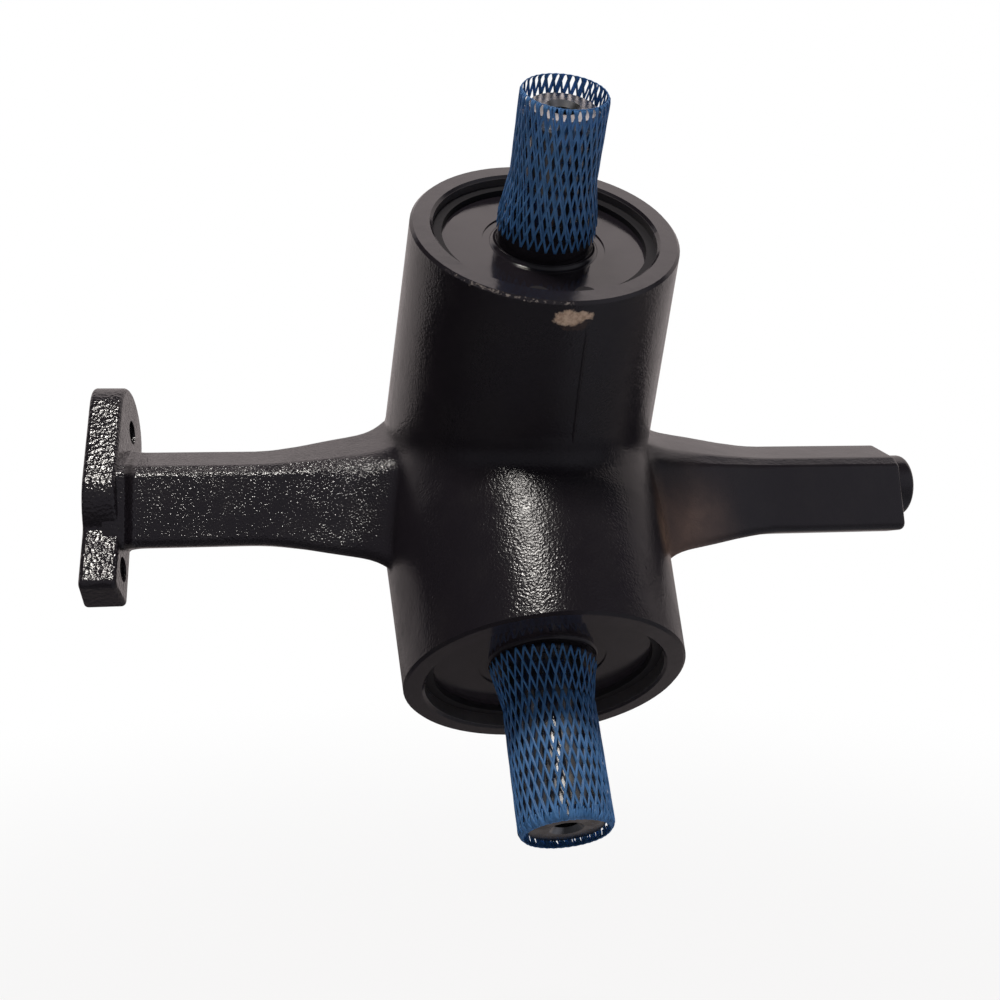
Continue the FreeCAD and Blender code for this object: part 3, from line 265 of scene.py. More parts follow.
def cast_grain(s, grain, strength, below):
    """Sandy bumps of one zone over what lies below."""
    pebble, smoothness, pebble_share, lump, detail, lump_share, depth = grain
    height = s.add(s.times(s.pebbles(pebble, smoothness), pebble_share),
                   s.times(s.noise(lump, detail=detail), lump_share))
    return s.bump(height, depth, strength, below)


def housing_paint():
    """Gloss black over a sand casting: grainy skin, machined rims, a bare patch, dust and rust, with
    painted light: a warm sheen low on the right, paler mouth walls and a glint on the upper rim.
    """
    s = Shader("black_paint")
    machined, mouth = 0.0, 0.0
    for side in SIDES:
        place, radius, _ = s.along(side)
        on_rim = s.times(s.step(place, RIM[side] - 1.6 * MM, RIM[side] - 0.9 * MM),
                         s.step(radius, RIM_RADIUS[side] + 3 * MM, RIM_RADIUS[side] + 1.5 * MM))
        inside = s.times(s.step(place, 60 * MM, 62 * MM),
                         s.step(radius, MOUTH_RADIUS[side] + 2.2 * MM, MOUTH_RADIUS[side] + 1.7 * MM))
        machined = s.most(machined, s.most(on_rim, inside))
        below_rim = s.times(inside, s.step(place, RIM[side] - 0.8 * MM, RIM[side] - 1.4 * MM))
        mouth = s.most(mouth, below_rim)
    cast = s.minus(1.0, machined)

    # Where an arm grows out of the barrels the casting is round, not creased
    x = s.dot(s.place, (1, 0, 0))
    off_middle = s.maths("ABSOLUTE", s.minus(x, CROSSING.x))
    upper_place, upper_radius, upper_rest = s.along("upper")
    lower_place, lower_radius, _ = s.along("lower")
    root_zone = s.between(off_middle, *ROOT_OFF_MIDDLE)
    for place in (upper_place, lower_place):
        root_zone = s.times(root_zone, s.step(place, *ROOT_PLACE))
    rounded = s.node("ShaderNodeBevel", samples=6)
    s.feed(rounded.inputs["Radius"], s.times(root_zone, ROOT_ROUNDING))

    # The sand's grain is fine on the barrels, steep on the left arm, coarse on the flange and faint
    # on the plain arm
    left_arm = s.step(x, *LEFT_ARM_X)
    plain_arm = s.step(x, *PLAIN_ARM_X)
    flange = s.step(x, *FLANGE_X)
    patches = s.noise(11 * MM, detail=3.0)
    uneven = s.times(s.step(patches, 0.3, 0.7, 0.7, 1.1), cast)
    waves = s.bump(s.noise(9 * MM, detail=2.0), 0.5 * MM, 0.3, rounded.outputs[0])
    on_barrels = s.times(s.minus(1.0, left_arm), s.blend(plain_arm, 0.5, 0.2))
    on_left_arm = s.minus(left_arm, flange)
    skin = cast_grain(s, BARREL_GRAIN, s.times(on_barrels, uneven), waves)
    skin = cast_grain(s, LEFT_ARM_GRAIN, s.times(on_left_arm, uneven), skin)
    skin = cast_grain(s, FLANGE_GRAIN, s.times(flange, uneven), skin)
    turning = s.noise(0.5 * MM, detail=1.0, where=s.stretched(s.place, (0.02, 1, 1)))
    skin = s.bump(turning, 0.02 * MM, s.times(machined, 0.5), skin)

    # Hollow where the arm runs out into the flange
    foot = s.step(x, FLANGE_FACE + FOOT_HOLLOW, FLANGE_FACE)
    skin = s.bump(s.times(foot, foot), 6 * MM, 0.8, skin)

    # Patch near the upper rim where the paint is ground off, brown at its lower edge
    ragged = s.times(s.minus(s.noise(2.6 * MM, detail=4.0, roughness=0.65), 0.5), 1.1)
    upper_front = s.step(s.dot(upper_rest, FRONT["upper"]), 0.03, 0.04)

    def oval(middle, half_width, place, half_height):
        sideways = s.maths("DIVIDE", s.minus(x, middle), half_width)
        upward = s.maths("DIVIDE", s.minus(upper_place, place), half_height)
        far = s.hypotenuse(sideways, upward)
        return s.times(s.step(s.add(far, ragged), 1.14, 0.80), upper_front)

    bare = s.most(oval(*BARE_OVALS[0]), oval(*BARE_OVALS[1]))
    brown = oval(*BROWN_OVAL)
    scraped = s.noise(1.6 * MM, detail=5.0, roughness=0.7)
    # Thin scuffs along the front edge of that rim, and beside them a short stretch of painted glint
    edge_place = s.minus(upper_place, RIM["upper"] - 0.7 * MM)
    edge_radius = s.minus(upper_radius, RIM_RADIUS["upper"] - 0.5 * MM)
    stray = s.times(s.minus(s.noise(3.5 * MM, detail=4.0, roughness=0.7), 0.5), 3.4 * MM)
    from_edge = s.add(s.hypotenuse(edge_place, edge_radius), stray)
    worn = s.times(s.step(from_edge, 0.8 * MM, 0.3 * MM), s.times(upper_front, s.step(scraped, 0.47, 0.6)))
    worn = s.times(worn, s.most(s.between(x, *SCUFFS_AND_GLINT_X[0]), s.between(x, *SCUFFS_AND_GLINT_X[1])))

    # Dull dust in the hollows; at the root of the plain arm and along its crease, brown stain and rust with
    # a painted warm sheen over them
    dust = s.step(s.noise(22 * MM, detail=5.0, roughness=0.6), 0.42, 0.72)
    colour = s.colour(s.times(dust, 0.35), BLACK, DUSTY)
    low = s.times(s.step(s.dot(s.place, (0, 0, 1)), *STAIN_AND_SHEEN_HEIGHT), s.step(lower_place, *STAIN_AND_SHEEN_PLACE))
    root = s.times(s.between(x, *STAIN_AND_SHEEN_X), low)
    colour = s.colour(s.times(root, s.blend(dust, 0.55, 0.9)), colour, ROOT_STAIN_AND_SHEEN)
    barrel = s.times(s.minus(RIM["lower"], lower_place), DRAFT)
    off_barrel = s.minus(lower_radius, s.add(barrel, RIM_RADIUS["lower"]))
    crease = s.times(s.step(off_barrel, 3.0 * MM, 0.6 * MM), s.step(x, *CREASE_X))
    crease = s.times(s.times(crease, s.step(s.dot(s.place, (0, 1, 0)), *CREASE_DEPTH)), low)
    colour = s.colour(s.times(crease, s.blend(dust, 0.35, 0.7)), colour, CREASE_RUST_AND_SHEEN)
    # The mouths' walls take a paler grey than the paint: painted reflected light, varied by dust
    colour = s.colour(mouth, colour, s.colour(dust, WALL_PAINTED_LIGHT_DIM, WALL_PAINTED_LIGHT_PALE))
    colour = s.colour(s.times(brown, s.step(scraped, 0.3, 0.7, 0.15, 0.85)), colour, PATCH_BROWN)
    # Pale grey scuffs, and a painted glint along the second stretch
    colour = s.colour(s.times(worn, 0.8), colour, SCUFF_AND_GLINT)
    colour = s.colour(bare, colour, s.colour(s.step(scraped, 0.38, 0.68), BARE_PALE, BARE_DARK))
    roughness = s.blend(left_arm, s.blend(dust, 0.20, 0.26), s.blend(dust, 0.16, 0.22))
    roughness = s.blend(machined, roughness, s.blend(dust, 0.14, 0.22))
    roughness = s.blend(mouth, roughness, 0.36)
    roughness = s.blend(s.most(bare, s.times(worn, 0.5)), roughness, 0.6)
    gloss = s.surface(Base_Color=colour, Roughness=roughness, IOR=PAINT_IOR, Normal=skin)
    # A film of dust dulls the lower barrel
    film = s.node("ShaderNodeBsdfDiffuse")
    s.feed(film.inputs["Color"], colour)
    s.feed(film.inputs["Normal"], skin)
    dulled = s.times(s.step(lower_place, *DULL_PLACE), s.step(off_middle, *DULL_OFF_MIDDLE))
    dulled = s.times(s.times(dulled, cast), s.blend(dust, 0.36, 0.5))
    return s.finish(s.mix(dulled, gloss, film.outputs[0]))


def cover_paint():
    """Gloss black on a turned disc: soft runs in the paint over faint turning marks."""
    s = Shader("cover_paint")
    rings = 0.0
    for side in SIDES:
        place, radius, _ = s.along(side)
        near = s.step(place, 80 * MM, 82 * MM)
        rings = s.add(rings, s.times(near, s.maths("SINE", s.times(radius, 9000.0))))
    runs = s.bump(s.noise(12 * MM, detail=2.0), 0.25 * MM, 0.25)
    skin = s.bump(rings, 0.004 * MM, 0.35, runs)
    specks = s.step(s.noise(0.8 * MM, detail=2.0), 0.66, 0.74)
    colour = s.colour(s.times(specks, 0.5), BLACK, DUSTY)
    roughness = s.step(s.noise(16 * MM, detail=4.0), 0.35, 0.7, 0.10, 0.19)
    return s.finish(s.surface(Base_Color=colour, Roughness=roughness, IOR=PAINT_IOR, Normal=skin))


def plug_paint():
    """Black paint on the plug, thin at the hexagon's corners."""
    s = Shader("plug_paint")
    edge = s.node("ShaderNodeNewGeometry").outputs["Pointiness"]
    worn = s.times(s.step(edge, 0.53, 0.60), s.step(s.noise(1.5 * MM, detail=3.0), 0.4, 0.6))
    colour = s.colour(worn, BLACK, rgb(0.30, 0.29, 0.28))
    skin = s.bump(s.noise(1.1 * MM, detail=3.0), 0.12 * MM, 0.4)
    return s.finish(s.surface(Base_Color=colour, Metallic=worn, Roughness=s.blend(worn, 0.25, 0.4),
                              IOR=PAINT_IOR, Normal=skin))


def soft_copper():
    """The plug's washer: tarnished copper."""
    s = Shader("copper")
    tarnish = s.step(s.noise(4 * MM, detail=5.0, roughness=0.65), 0.4, 0.65)
    colour = s.colour(tarnish, rgb(0.62, 0.28, 0.15), rgb(0.12, 0.06, 0.045))
    skin = s.bump(s.noise(0.7 * MM, detail=2.0), 0.05 * MM, 0.4)
    roughness = s.blend(tarnish, 0.32, 0.55)
    return s.finish(s.surface(Base_Color=colour, Metallic=1.0, Roughness=roughness, Normal=skin))


def rubber():
    """Oil seals, sprayed over with the covers' paint."""
    s = Shader("black_rubber")
    dust = s.step(s.noise(3 * MM, detail=4.0), 0.45, 0.75)
    colour = s.colour(s.times(dust, 0.4), BLACK, DUSTY)
    skin = s.bump(s.noise(12 * MM, detail=2.0), 0.25 * MM, 0.25)
    roughness = s.blend(dust, 0.10, 0.17)
    return s.finish(s.surface(Base_Color=colour, Roughness=roughness, IOR=PAINT_IOR, Normal=skin))


def ring_steel():
    """Retaining rings, blacked and painted over with the covers."""
    s = Shader("ring_steel")
    bare = s.step(s.noise(2.5 * MM, detail=4.0), 0.68, 0.78)
    colour = s.colour(bare, rgb(0.021, 0.020, 0.022), rgb(0.036, 0.033, 0.033))
    skin = s.bump(s.noise(1.4 * MM, detail=3.0), 0.08 * MM, 0.35)
    return s.finish(s.surface(Base_Color=colour, Roughness=s.blend(bare, 0.45, 0.55), IOR=1.4,
                              Specular_IOR_Level=0.1, Normal=skin))


def inner_steel(name, tone, low, high, grain):
    """Oiled steel of the hidden pieces: ground marks and a thin film of oil."""
    s = Shader(name)
    oil = s.step(s.noise(9 * MM, detail=4.0), 0.4, 0.7)
    marks = s.noise(grain, detail=2.0, where=s.stretched(s.place, (0.15, 1, 1)))
    dark = rgb(tone * 0.72, tone * 0.68, tone * 0.60)
    colour = s.colour(oil, rgb(tone, tone, tone * 0.98), dark)
    skin = s.bump(marks, 0.02 * MM, 0.5)
    roughness = s.blend(oil, high, low)
    return s.finish(s.surface(Base_Color=colour, Metallic=1.0, Roughness=roughness, Normal=skin))


def shaft_steel():
    """Painted journals, then bare oiled splines with milling marks and a ground end."""
    s = Shader("shaft_steel")
    bare, marks = 0.0, 0.0
    for side in SIDES:
        place, radius, _ = s.along(side)
        past = s.step(place, SPLINE_START[side] + 0.1 * MM, SPLINE_START[side] + 0.5 * MM)
        bare = s.most(bare, past)
        on_end = s.step(place, SHAFT_END[side] - 0.2 * MM, SHAFT_END[side] - 0.1 * MM)
        rings = s.maths("SINE", s.times(radius, 14000.0))
        marks = s.add(marks, s.times(s.times(past, on_end), rings))
    scratches = s.noise(0.5 * MM, detail=3.0, where=s.stretched(s.place, (1.0, 0.12, 0.12)))
    smear = s.step(s.noise(7 * MM, detail=4.0, roughness=0.6), 0.38, 0.68)
    steel = s.colour(smear, rgb(0.38, 0.38, 0.38), rgb(0.24, 0.235, 0.23))
    colour = s.colour(bare, BLACK, steel)
    skin = s.bump(scratches, 0.05 * MM, 0.5)
    skin = s.bump(marks, 0.005 * MM, 0.4, skin)
    paint_skin = s.bump(s.noise(6 * MM, detail=2.0), 0.2 * MM, 0.2)
    normal = s.node("ShaderNodeMix", data_type="VECTOR")
    s.feed(normal.inputs[0], bare)
    s.feed(normal.inputs[4], paint_skin)
    s.feed(normal.inputs[5], skin)
    roughness = s.blend(bare, 0.14, s.blend(smear, 0.2, 0.32))
    return s.finish(s.surface(Base_Color=colour, Metallic=bare, Roughness=roughness, IOR=PAINT_IOR,
                              Normal=normal.outputs[1]))


def net_plastic():
    """Stretched blue polythene: paler where thin, with drawn lines along the strands."""
    s = Shader("blue_net")
    drawn = s.noise(0.6 * MM, detail=2.0, where=s.stretched(s.place, (1.0, 0.2, 0.2)))
    tone = s.step(s.noise(5 * MM, detail=4.0, roughness=0.6), 0.3, 0.7)
    colour = s.colour(tone, rgb(0.075, 0.230, 0.50), rgb(0.125, 0.335, 0.67))
    colour = s.colour(s.step(drawn, 0.6, 0.8, 0.0, 0.35), colour, rgb(0.14, 0.30, 0.54))
    skin = s.bump(drawn, 0.06 * MM, 0.5)
    body = s.surface(Base_Color=colour, Roughness=s.blend(tone, 0.34, 0.48), Normal=skin)
    glow = s.node("ShaderNodeBsdfTranslucent")
    s.feed(glow.inputs["Color"], colour)
    return s.finish(s.mix(0.45, body, glow.outputs[0]))


looks = {
    "black_paint": housing_paint(),
    "cover_steel": cover_paint(),
    "plug_steel": plug_paint(),
    "copper": soft_copper(),
    "black_rubber": rubber(),
    "ring_steel": ring_steel(),
    "bearing_steel": inner_steel("bearing_steel", 0.60, 0.14, 0.24, 0.4 * MM),
    "cage_steel": inner_steel("cage_steel", 0.36, 0.3, 0.45, 0.8 * MM),
    "gear_steel": inner_steel("gear_steel", 0.42, 0.22, 0.38, 0.6 * MM),
    "shaft_steel": shaft_steel(),
    "blue_net": net_plastic(),
}
for entry in frame["record"]["subparts"]:
    node = frame["nodes"][entry["node"]]
    if not node.material_slots:
        node.data.materials.append(None)
    for spot in node.material_slots:
        spot.material = looks[entry["material_slot"]]


def new_piece(name, points, faces, look, body):
    """Smooth mesh object that rides a body and takes a slot's finish."""
    mesh = bpy.data.meshes.new(name)
    mesh.from_pydata(points, [], faces)
    mesh.polygons.foreach_set("use_smooth", [True] * len(mesh.polygons))
    mesh.materials.append(looks[look])
    mesh.update()
    piece = bpy.data.objects.new(name, mesh)
    bpy.context.scene.collection.objects.link(piece)
    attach(piece, body)
    return piece


# Nets: two families of strands that cross in tall diamonds, drawn tight over the spline and wider
# over the journal. At its open end each net is folded back over itself, so it has two layers there.

DIAMONDS_ROUND = 36
DIAMOND_HEIGHT = 12.6 * MM
STRAND_WIDTH = 0.86 * MM
STRAND_THICKNESS = 0.28 * MM
STRAND_SIDES = 6
STRAND_STEP = 1.05 * MM
NET_ROOM = 0.07 * MM
NET_FLARE = 18.0 * MM
JOURNAL_RADIUS = {"upper": 20.0 * MM, "lower": 22.5 * MM}
SPLINE_RADIUS = {"upper": 17.0 * MM, "lower": 19.0 * MM}
# Place of each net's foot, of the folded layer's edge and of the fold
NET_FOOT = {"upper": 121.9 * MM, "lower": 110.3 * MM}
NET_CUFF = {"upper": 126.5 * MM, "lower": 129.5 * MM}
NET_FOLD = {"upper": 180.7 * MM, "lower": 185.4 * MM}
# The second layer lies this far out; both meet in the fold, a little drawn in
LAYER_GAP = 0.36 * MM
FOLD_LENGTH = {"upper": 1.6 * MM, "lower": 3.0 * MM}
FOLD_DRAW = {"upper": 0.5 * MM, "lower": 1.5 * MM}
FOLD_BEAD = 0.34 * MM
# Strands bunch up in the lower fold
FOLD_SPREAD = {"upper": 0.1, "lower": 1.1}
# The crossing family lies a little higher, and the folded layer is turned by a share of a diamond
CROSS_LIFT = 0.08 * MM
LAYER_TURN = 0.37
# Unevenness of the strands: share of a diamond they stray, how they sway, spread of start and width
STRAY = 0.1
SWAY = 0.06
SWAY_LENGTH = 4.1 * MM
START_SPREAD = 0.5 * MM
WIDTH_SPREAD = 0.15
FOLD_RIPPLE = 0.10 * MM
# Short gathers that close the lower fold
GATHERS = {"upper": 0, "lower": 112}
GATHER_LIFT = 0.16 * MM
GATHER_SLANT = 0.03
GATHER_ROWS = 4
GATHER_LENGTH = 5.0 * MM
GATHER_WIDTH = 1.08 * MM
# The foot's free tips stand out, and the lower foot is pulled up on its left side
TIP_LENGTH = 5.0 * MM
TIP_FLARE = 0.55 * MM
FOOT_SLANT = {"upper": 0.3 * MM, "lower": 3.6 * MM}


def outward(side, turn):
    """Direction away from a shaft, turned from the front."""
    side_way = AXIS[side].cross(FRONT[side])
    return FRONT[side] * math.cos(turn) + side_way * math.sin(turn)


def roundward(side, turn):
    """Direction round a shaft at that turn."""
    side_way = AXIS[side].cross(FRONT[side])
    return side_way * math.cos(turn) - FRONT[side] * math.sin(turn)


def net_radius(side, place, foot):
    """Inner radius of a net: cone from journal to spline, flared at its foot, drawn in at its fold."""
    share = (place - SPLINE_START[side] - 0.06 * MM) / NET_FLARE
    share = min(max(share, 0.0), 1.0)
    radius = JOURNAL_RADIUS[side] + (SPLINE_RADIUS[side] - JOURNAL_RADIUS[side]) * share + NET_ROOM
    tip = max(0.0, 1 - (place - foot) / TIP_LENGTH)
    to_fold = max(0.0, 1 - (NET_FOLD[side] - place) / FOLD_LENGTH[side])
    return radius + TIP_FLARE * tip ** 2 - FOLD_DRAW[side] * to_fold ** 2


def tube(points, faces, centres, closed):
    """Flat tube through rows of (middle, across, out, width, thickness)."""
    base = len(points)
    for middle, across, out, width, thickness in centres:
        for corner in range(STRAND_SIDES):
            angle = 2 * math.pi * (corner + 0.5) / STRAND_SIDES
            points.append(middle + across * (math.cos(angle) * width / 2 / math.cos(math.pi / STRAND_SIDES))
                          + out * (math.sin(angle) * thickness / 2))
    rows = len(centres)
    for row in range(rows if closed else rows - 1):
        here = base + row * STRAND_SIDES
        above = base + (row + 1) % rows * STRAND_SIDES
        for corner in range(STRAND_SIDES):
            following = (corner + 1) % STRAND_SIDES
            faces.append((here + corner, here + following, above + following, above + corner))
    if not closed:
        faces.append(tuple(base + corner for corner in reversed(range(STRAND_SIDES))))
        last = base + (rows - 1) * STRAND_SIDES
        faces.append(tuple(last + corner for corner in range(STRAND_SIDES)))


def strand(points, faces, side, folded, first_turn, way, lift, chance):
    """One flat strand of a layer."""
    start = NET_CUFF[side] if folded else NET_FOOT[side]
    tilt = 0.5 - 0.5 * math.sin(first_turn) if not folded else 0.5
    start += FOOT_SLANT[side] * tilt + chance.uniform(0.0, 1.0) * START_SPREAD
    foot = 0.0 if folded else start
    end = NET_FOLD[side]
    wobble = chance.uniform(-STRAY, STRAY)
    width = STRAND_WIDTH * chance.uniform(1 - WIDTH_SPREAD, 1 + WIDTH_SPREAD)
    count = int((end - start) / STRAND_STEP)
    twist = way * 2 * math.pi / DIAMONDS_ROUND / DIAMOND_HEIGHT
    rows = []
    for index in range(count + 1):
        place = start + (end - start) * index / count
        sway = SWAY * math.sin(place / SWAY_LENGTH + first_turn * 5 + wobble * 30)
        turn = first_turn + twist * (place - start) + (wobble + sway) * 2 * math.pi / DIAMONDS_ROUND * 0.5
        out = outward(side, turn)
        to_fold = max(0.0, 1 - (end - place) / FOLD_LENGTH[side])
        gap = LAYER_GAP * (1 - to_fold ** 3) if folded else 0.0
        radius = net_radius(side, place, foot) + gap + lift + STRAND_THICKNESS / 2
        along = (AXIS[side] + roundward(side, turn) * (radius * twist)).normalized()
        wide = width * (1 + FOLD_SPREAD[side] * to_fold)
        middle = CROSSING + AXIS[side] * place + out * radius
        rows.append((middle, along.cross(out), out, wide, STRAND_THICKNESS))
    tube(points, faces, rows, closed=False)


def net(side):
    """Both layers of a net, the gathers in its fold and the bead round it."""
    chance = random.Random(f"{side} net")
    points, faces = [], []
    for folded in (False, True):
        for way in (1, -1):
            for index in range(DIAMONDS_ROUND):
                turn = 2 * math.pi * (index + LAYER_TURN * folded) / DIAMONDS_ROUND
                lift = 0.0 if way == 1 else CROSS_LIFT
                strand(points, faces, side, folded, turn, way, lift, chance)
    for index in range(GATHERS[side]):
        length = GATHER_LENGTH * chance.uniform(0.7, 1.2)
        turn = 2 * math.pi * (index + chance.uniform(-0.3, 0.3)) / GATHERS[side]
        rows = []
        for row in range(GATHER_ROWS + 1):
            share = row / GATHER_ROWS
            place = NET_FOLD[side] - length * (1 - share)
            slant = turn + GATHER_SLANT * share
            out = outward(side, slant)
            radius = net_radius(side, place, 0.0) + STRAND_THICKNESS / 2 + GATHER_LIFT * (1 - share)
            wide = GATHER_WIDTH * (0.72 + 0.28 * share)
            middle = CROSSING + AXIS[side] * place + out * radius
            rows.append((middle, -roundward(side, slant), out, wide, STRAND_THICKNESS))
        tube(points, faces, rows, closed=False)
    # The fold is a smooth thin bead
    radius = net_radius(side, NET_FOLD[side], 0.0) + STRAND_THICKNESS / 2 + 0.05 * MM
    rows = []
    steps = 4 * DIAMONDS_ROUND
    for index in range(steps):
        turn = 2 * math.pi * index / steps
        out = outward(side, turn)
        ripple = FOLD_RIPPLE * math.sin(turn * DIAMONDS_ROUND)
        middle = CROSSING + AXIS[side] * (NET_FOLD[side] + ripple) + out * radius
        rows.append((middle, AXIS[side], out, FOLD_BEAD, FOLD_BEAD))
    tube(points, faces, rows, closed=True)
    piece = new_piece(f"{side}_strand_net", points, faces, "blue_net", f"{side}_net")
    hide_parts(f"{side}_net")
    return piece


for side in SIDES:
    net(side)


# Lip of each oil seal: a hollow ring that rises from the cover to the shaft, sprayed with the cover

LIP_HOLLOW = {"upper": 2.6 * MM, "lower": 1.7 * MM}
LIP_ROOM = 0.25 * MM
LIP_FOOT = 0.5 * MM
LIP_STEPS = 180
LIP_ARC = 10
COVER_FACE = {"upper": 115.0 * MM, "lower": 109.5 * MM}
SEAL_SINK = 0.6 * MM


def seal_lip(side):
    """Ring with a hollow profile, from the shaft down to the cover."""
    inner = JOURNAL_RADIUS[side] + LIP_ROOM
    floor_place = COVER_FACE[side] - SEAL_SINK
    hollow = LIP_HOLLOW[side]
    profile = [(inner, -LIP_FOOT)]
    for index in range(LIP_ARC + 1):
        angle = math.pi / 2 * (0.12 + 0.88 * index / LIP_ARC)
        profile.append((inner + hollow * (1 - math.cos(angle)), hollow * (1 - math.sin(angle))))
    profile.append((profile[-1][0], -LIP_FOOT))
    points, faces = [], []
    wide = len(profile)
    for step in range(LIP_STEPS):
        turn = 2 * math.pi * step / LIP_STEPS
        out = outward(side, turn)
        for radius, rise in profile:
            points.append(CROSSING + AXIS[side] * (floor_place + rise) + out * radius)
        here = step * wide
        beyond = (step + 1) % LIP_STEPS * wide
        for corner in range(wide):
            following = (corner + 1) % wide
            faces.append((here + corner, beyond + corner, beyond + following, here + following))
    new_piece(f"{side}_seal_lip", points, faces, "black_rubber", "housing")


for side in SIDES:
    seal_lip(side)


# Thin raised line down the front of the upper barrel, where the mould's halves met

SEAM_HEIGHT = 0.5 * MM
SEAM_WIDTH = 1.5 * MM
SEAM_STEPS = 60
# Place along the upper shaft and turn from the front, in degrees
SEAM_START = (110.5 * MM, 8.3)
SEAM_END = (43.0 * MM, 10.2)


def seam():
    """Uneven low ridge that follows the upper barrel's draft."""
    chance = random.Random("mould seam")
    points, faces = [], []
    profile = ((-1.0, -0.3), (-0.5, 0.55), (0.0, 1.0), (0.5, 0.55), (1.0, -0.3))
    for index in range(SEAM_STEPS + 1):
        share = index / SEAM_STEPS
        place = SEAM_START[0] + (SEAM_END[0] - SEAM_START[0]) * share
        turn = math.radians(SEAM_START[1] + (SEAM_END[1] - SEAM_START[1]) * share ** 1.6)
        turn += math.radians(chance.uniform(-0.12, 0.12))
        surface = RIM_RADIUS["upper"] + (RIM["upper"] - place) * DRAFT
        height = SEAM_HEIGHT * chance.uniform(0.75, 1.1) * min(1.0, 8 * share, 8 * (1 - share) + 0.1)
        for sideways, up in profile:
            angle = turn + sideways * SEAM_WIDTH / 2 / surface
            out = outward("upper", angle)
            points.append(CROSSING + AXIS["upper"] * place + out * (surface + up * height))
    wide = len(profile)
    for index in range(SEAM_STEPS):
        for corner in range(wide - 1):
            here = index * wide + corner
            faces.append((here, here + 1, here + wide + 1, here + wide))
    new_piece("mould_seam", points, faces, "black_paint", "housing")


seam()


# Stage: white all round to the camera; reflections see a dim room with pale ground behind the object

FLOOR_PLACE = -0.42
FLOOR_HALF = 4.0
FLOOR_CORNERS = ((-1, -1), (1, -1), (1, 1), (-1, 1))
floor_mesh = bpy.data.meshes.new("floor")
floor_points = [(x * FLOOR_HALF, y * FLOOR_HALF, 0) for x, y in FLOOR_CORNERS]
floor_mesh.from_pydata(floor_points, [], [(0, 1, 2, 3)])
floor = bpy.data.objects.new("floor", floor_mesh)
floor.location = (0.19, 0.0, FLOOR_PLACE)
bpy.context.scene.collection.objects.link(floor)
floor.visible_glossy = False
ground = Shader("pale_floor")
to_camera = ground.node("ShaderNodeLightPath").outputs["Is Camera Ray"]
matt = ground.node("ShaderNodeBsdfDiffuse")
ground.feed(matt.inputs["Color"], rgb(0.86, 0.86, 0.86))
white = ground.node("ShaderNodeEmission")
ground.feed(white.inputs["Color"], rgb(1, 1, 1))
reach = ground.node("ShaderNodeVectorMath", operation="LENGTH")
ground.feed(reach.inputs[0], ground.place)
far_off = ground.step(reach.outputs["Value"], 0.35, 1.4, 0.82, 1.0)
both = ground.mix(ground.times(to_camera, far_off), matt.outputs[0], white.outputs[0])
floor_mesh.materials.append(ground.finish(both))

world = bpy.data.worlds.new("studio")
bpy.context.scene.world = world
world.use_nodes = True
sky = world.node_tree
sky.nodes.clear()


class Sky(Shader):
    """The same helpers on the world's node tree."""

    def __init__(self):
        self.tree = sky
        self.out = self.node("ShaderNodeOutputWorld")
        self.place = self.node("ShaderNodeTexCoord").outputs["Generated"]


w = Sky()
sideways = w.dot(w.place, (1, 0, 0))
depth = w.dot(w.place, (0, 1, 0))
height = w.dot(w.place, (0, 0, 1))
behind = w.step(w.add(depth, w.times(sideways, 0.25)), 0.18, 0.40)
# Behind the object: pale ground up to the horizon, brightest overhead, dim straight below.
# Each row is a rise in brightness between two heights.
GLOW_ROWS = ((-0.36, -0.12, 0.03, 0.56), (0.10, 0.45, 0.0, 0.12),
             (0.55, 1.0, 0.0, 0.70), (-0.35, -0.8, 0.0, 0.10))
glow = 0.0
for row in GLOW_ROWS:
    glow = w.add(glow, w.step(height, *row))
right_side = w.times(w.step(sideways, 0.15, 0.6), w.between(height, (0.1, 0.3), (0.85, 0.5)))
glow = w.times(glow, w.blend(right_side, 1.0, 0.9))
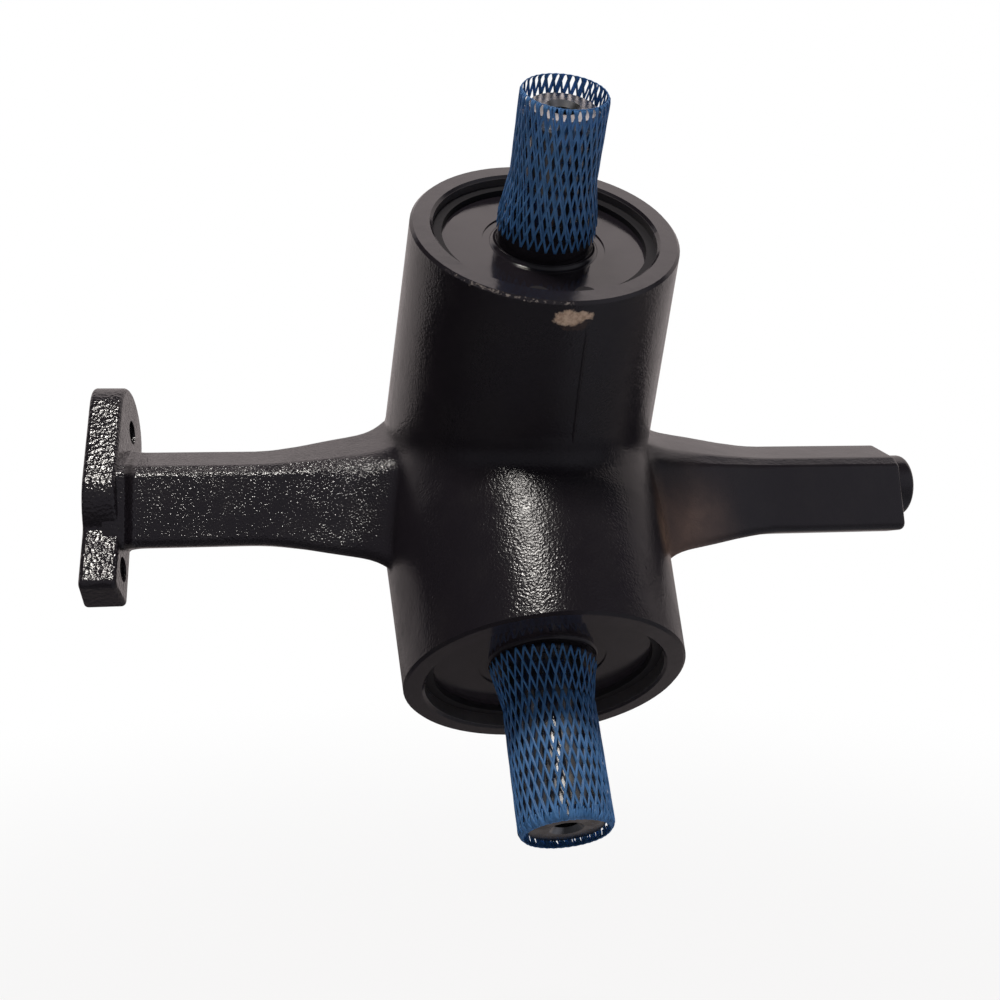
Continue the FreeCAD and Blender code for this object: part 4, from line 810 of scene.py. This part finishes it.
# The room in front: a pale band round the horizon, brighter to the right
room = w.times(w.step(height, -0.5, 0.1, 0.03, 0.22), w.step(height, 0.85, 0.55, 0.15, 1.0))
room = w.times(room, w.step(depth, 0.0, -0.5, 0.15, 1.0))
room = w.times(room, w.step(sideways, 0.2, 0.6, 1.0, 1.6))
right_floor = w.times(w.step(sideways, 0.18, 0.42), w.step(height, -0.1, -0.5, 0.0, 0.17))
under = w.times(w.step(height, -0.5, -0.9, 0.0, 0.09), w.minus(1.0, behind))
light = w.times(behind, glow)
for part in (room, right_floor, under):
    light = w.add(light, part)
tint = w.colour(behind, rgb(0.88, 0.89, 1.0), rgb(1.0, 0.89, 0.88))
backdrop = w.node("ShaderNodeBackground")
w.feed(backdrop.inputs["Color"], tint)
w.feed(backdrop.inputs["Strength"], light)
paper = w.node("ShaderNodeBackground")
w.feed(paper.inputs["Color"], rgb(1, 1, 1))
w.feed(paper.inputs["Strength"], 1.0)
by_camera = w.node("ShaderNodeLightPath").outputs["Is Camera Ray"]
sky.links.new(w.mix(by_camera, backdrop.outputs[0], paper.outputs[0]), w.out.inputs["Surface"])

LAMP_WAY = Vector((-0.14, -0.35, 0.92)).normalized()
LAMP_REACH = 1.5
LAMP_SIZE = 0.30
LAMP_ENERGY = 18.0
TARGET = Vector((0.19, -0.05, 0.0))
lamp_data = bpy.data.lights.new("overhead_lamp", "AREA")
lamp_data.shape = "DISK"
lamp_data.size = LAMP_SIZE
lamp_data.energy = LAMP_ENERGY
lamp_data.color = (1.0, 0.96, 0.91)
lamp = bpy.data.objects.new("overhead_lamp", lamp_data)
lamp.location = TARGET + LAMP_WAY * LAMP_REACH
lamp.rotation_mode = "QUATERNION"
lamp.rotation_quaternion = LAMP_WAY.to_track_quat("Z", "Y")
bpy.context.scene.collection.objects.link(lamp)

# The camera's own directions and place, as solved from the photo
CAMERA_RIGHT = Vector((0.98411, -0.17754, -0.00408))
CAMERA_DOWN = Vector((-0.01729, -0.07291, -0.99719))
CAMERA_AHEAD = Vector((0.17674, 0.98141, -0.07482))
CAMERA_PLACE = Vector((0.085252, -0.553718, 0.040765))
camera = bpy.data.objects.new("photo_camera", bpy.data.cameras.new("photo_camera"))
bpy.context.scene.collection.objects.link(camera)
bpy.context.scene.camera = camera
camera.data.lens = 43.2
camera.data.sensor_width = 36.0
stand = Matrix((CAMERA_RIGHT, -CAMERA_DOWN, -CAMERA_AHEAD)).transposed().to_4x4()
stand.translation = CAMERA_PLACE
camera.matrix_world = stand

bpy.context.scene.view_settings.view_transform = "Standard"
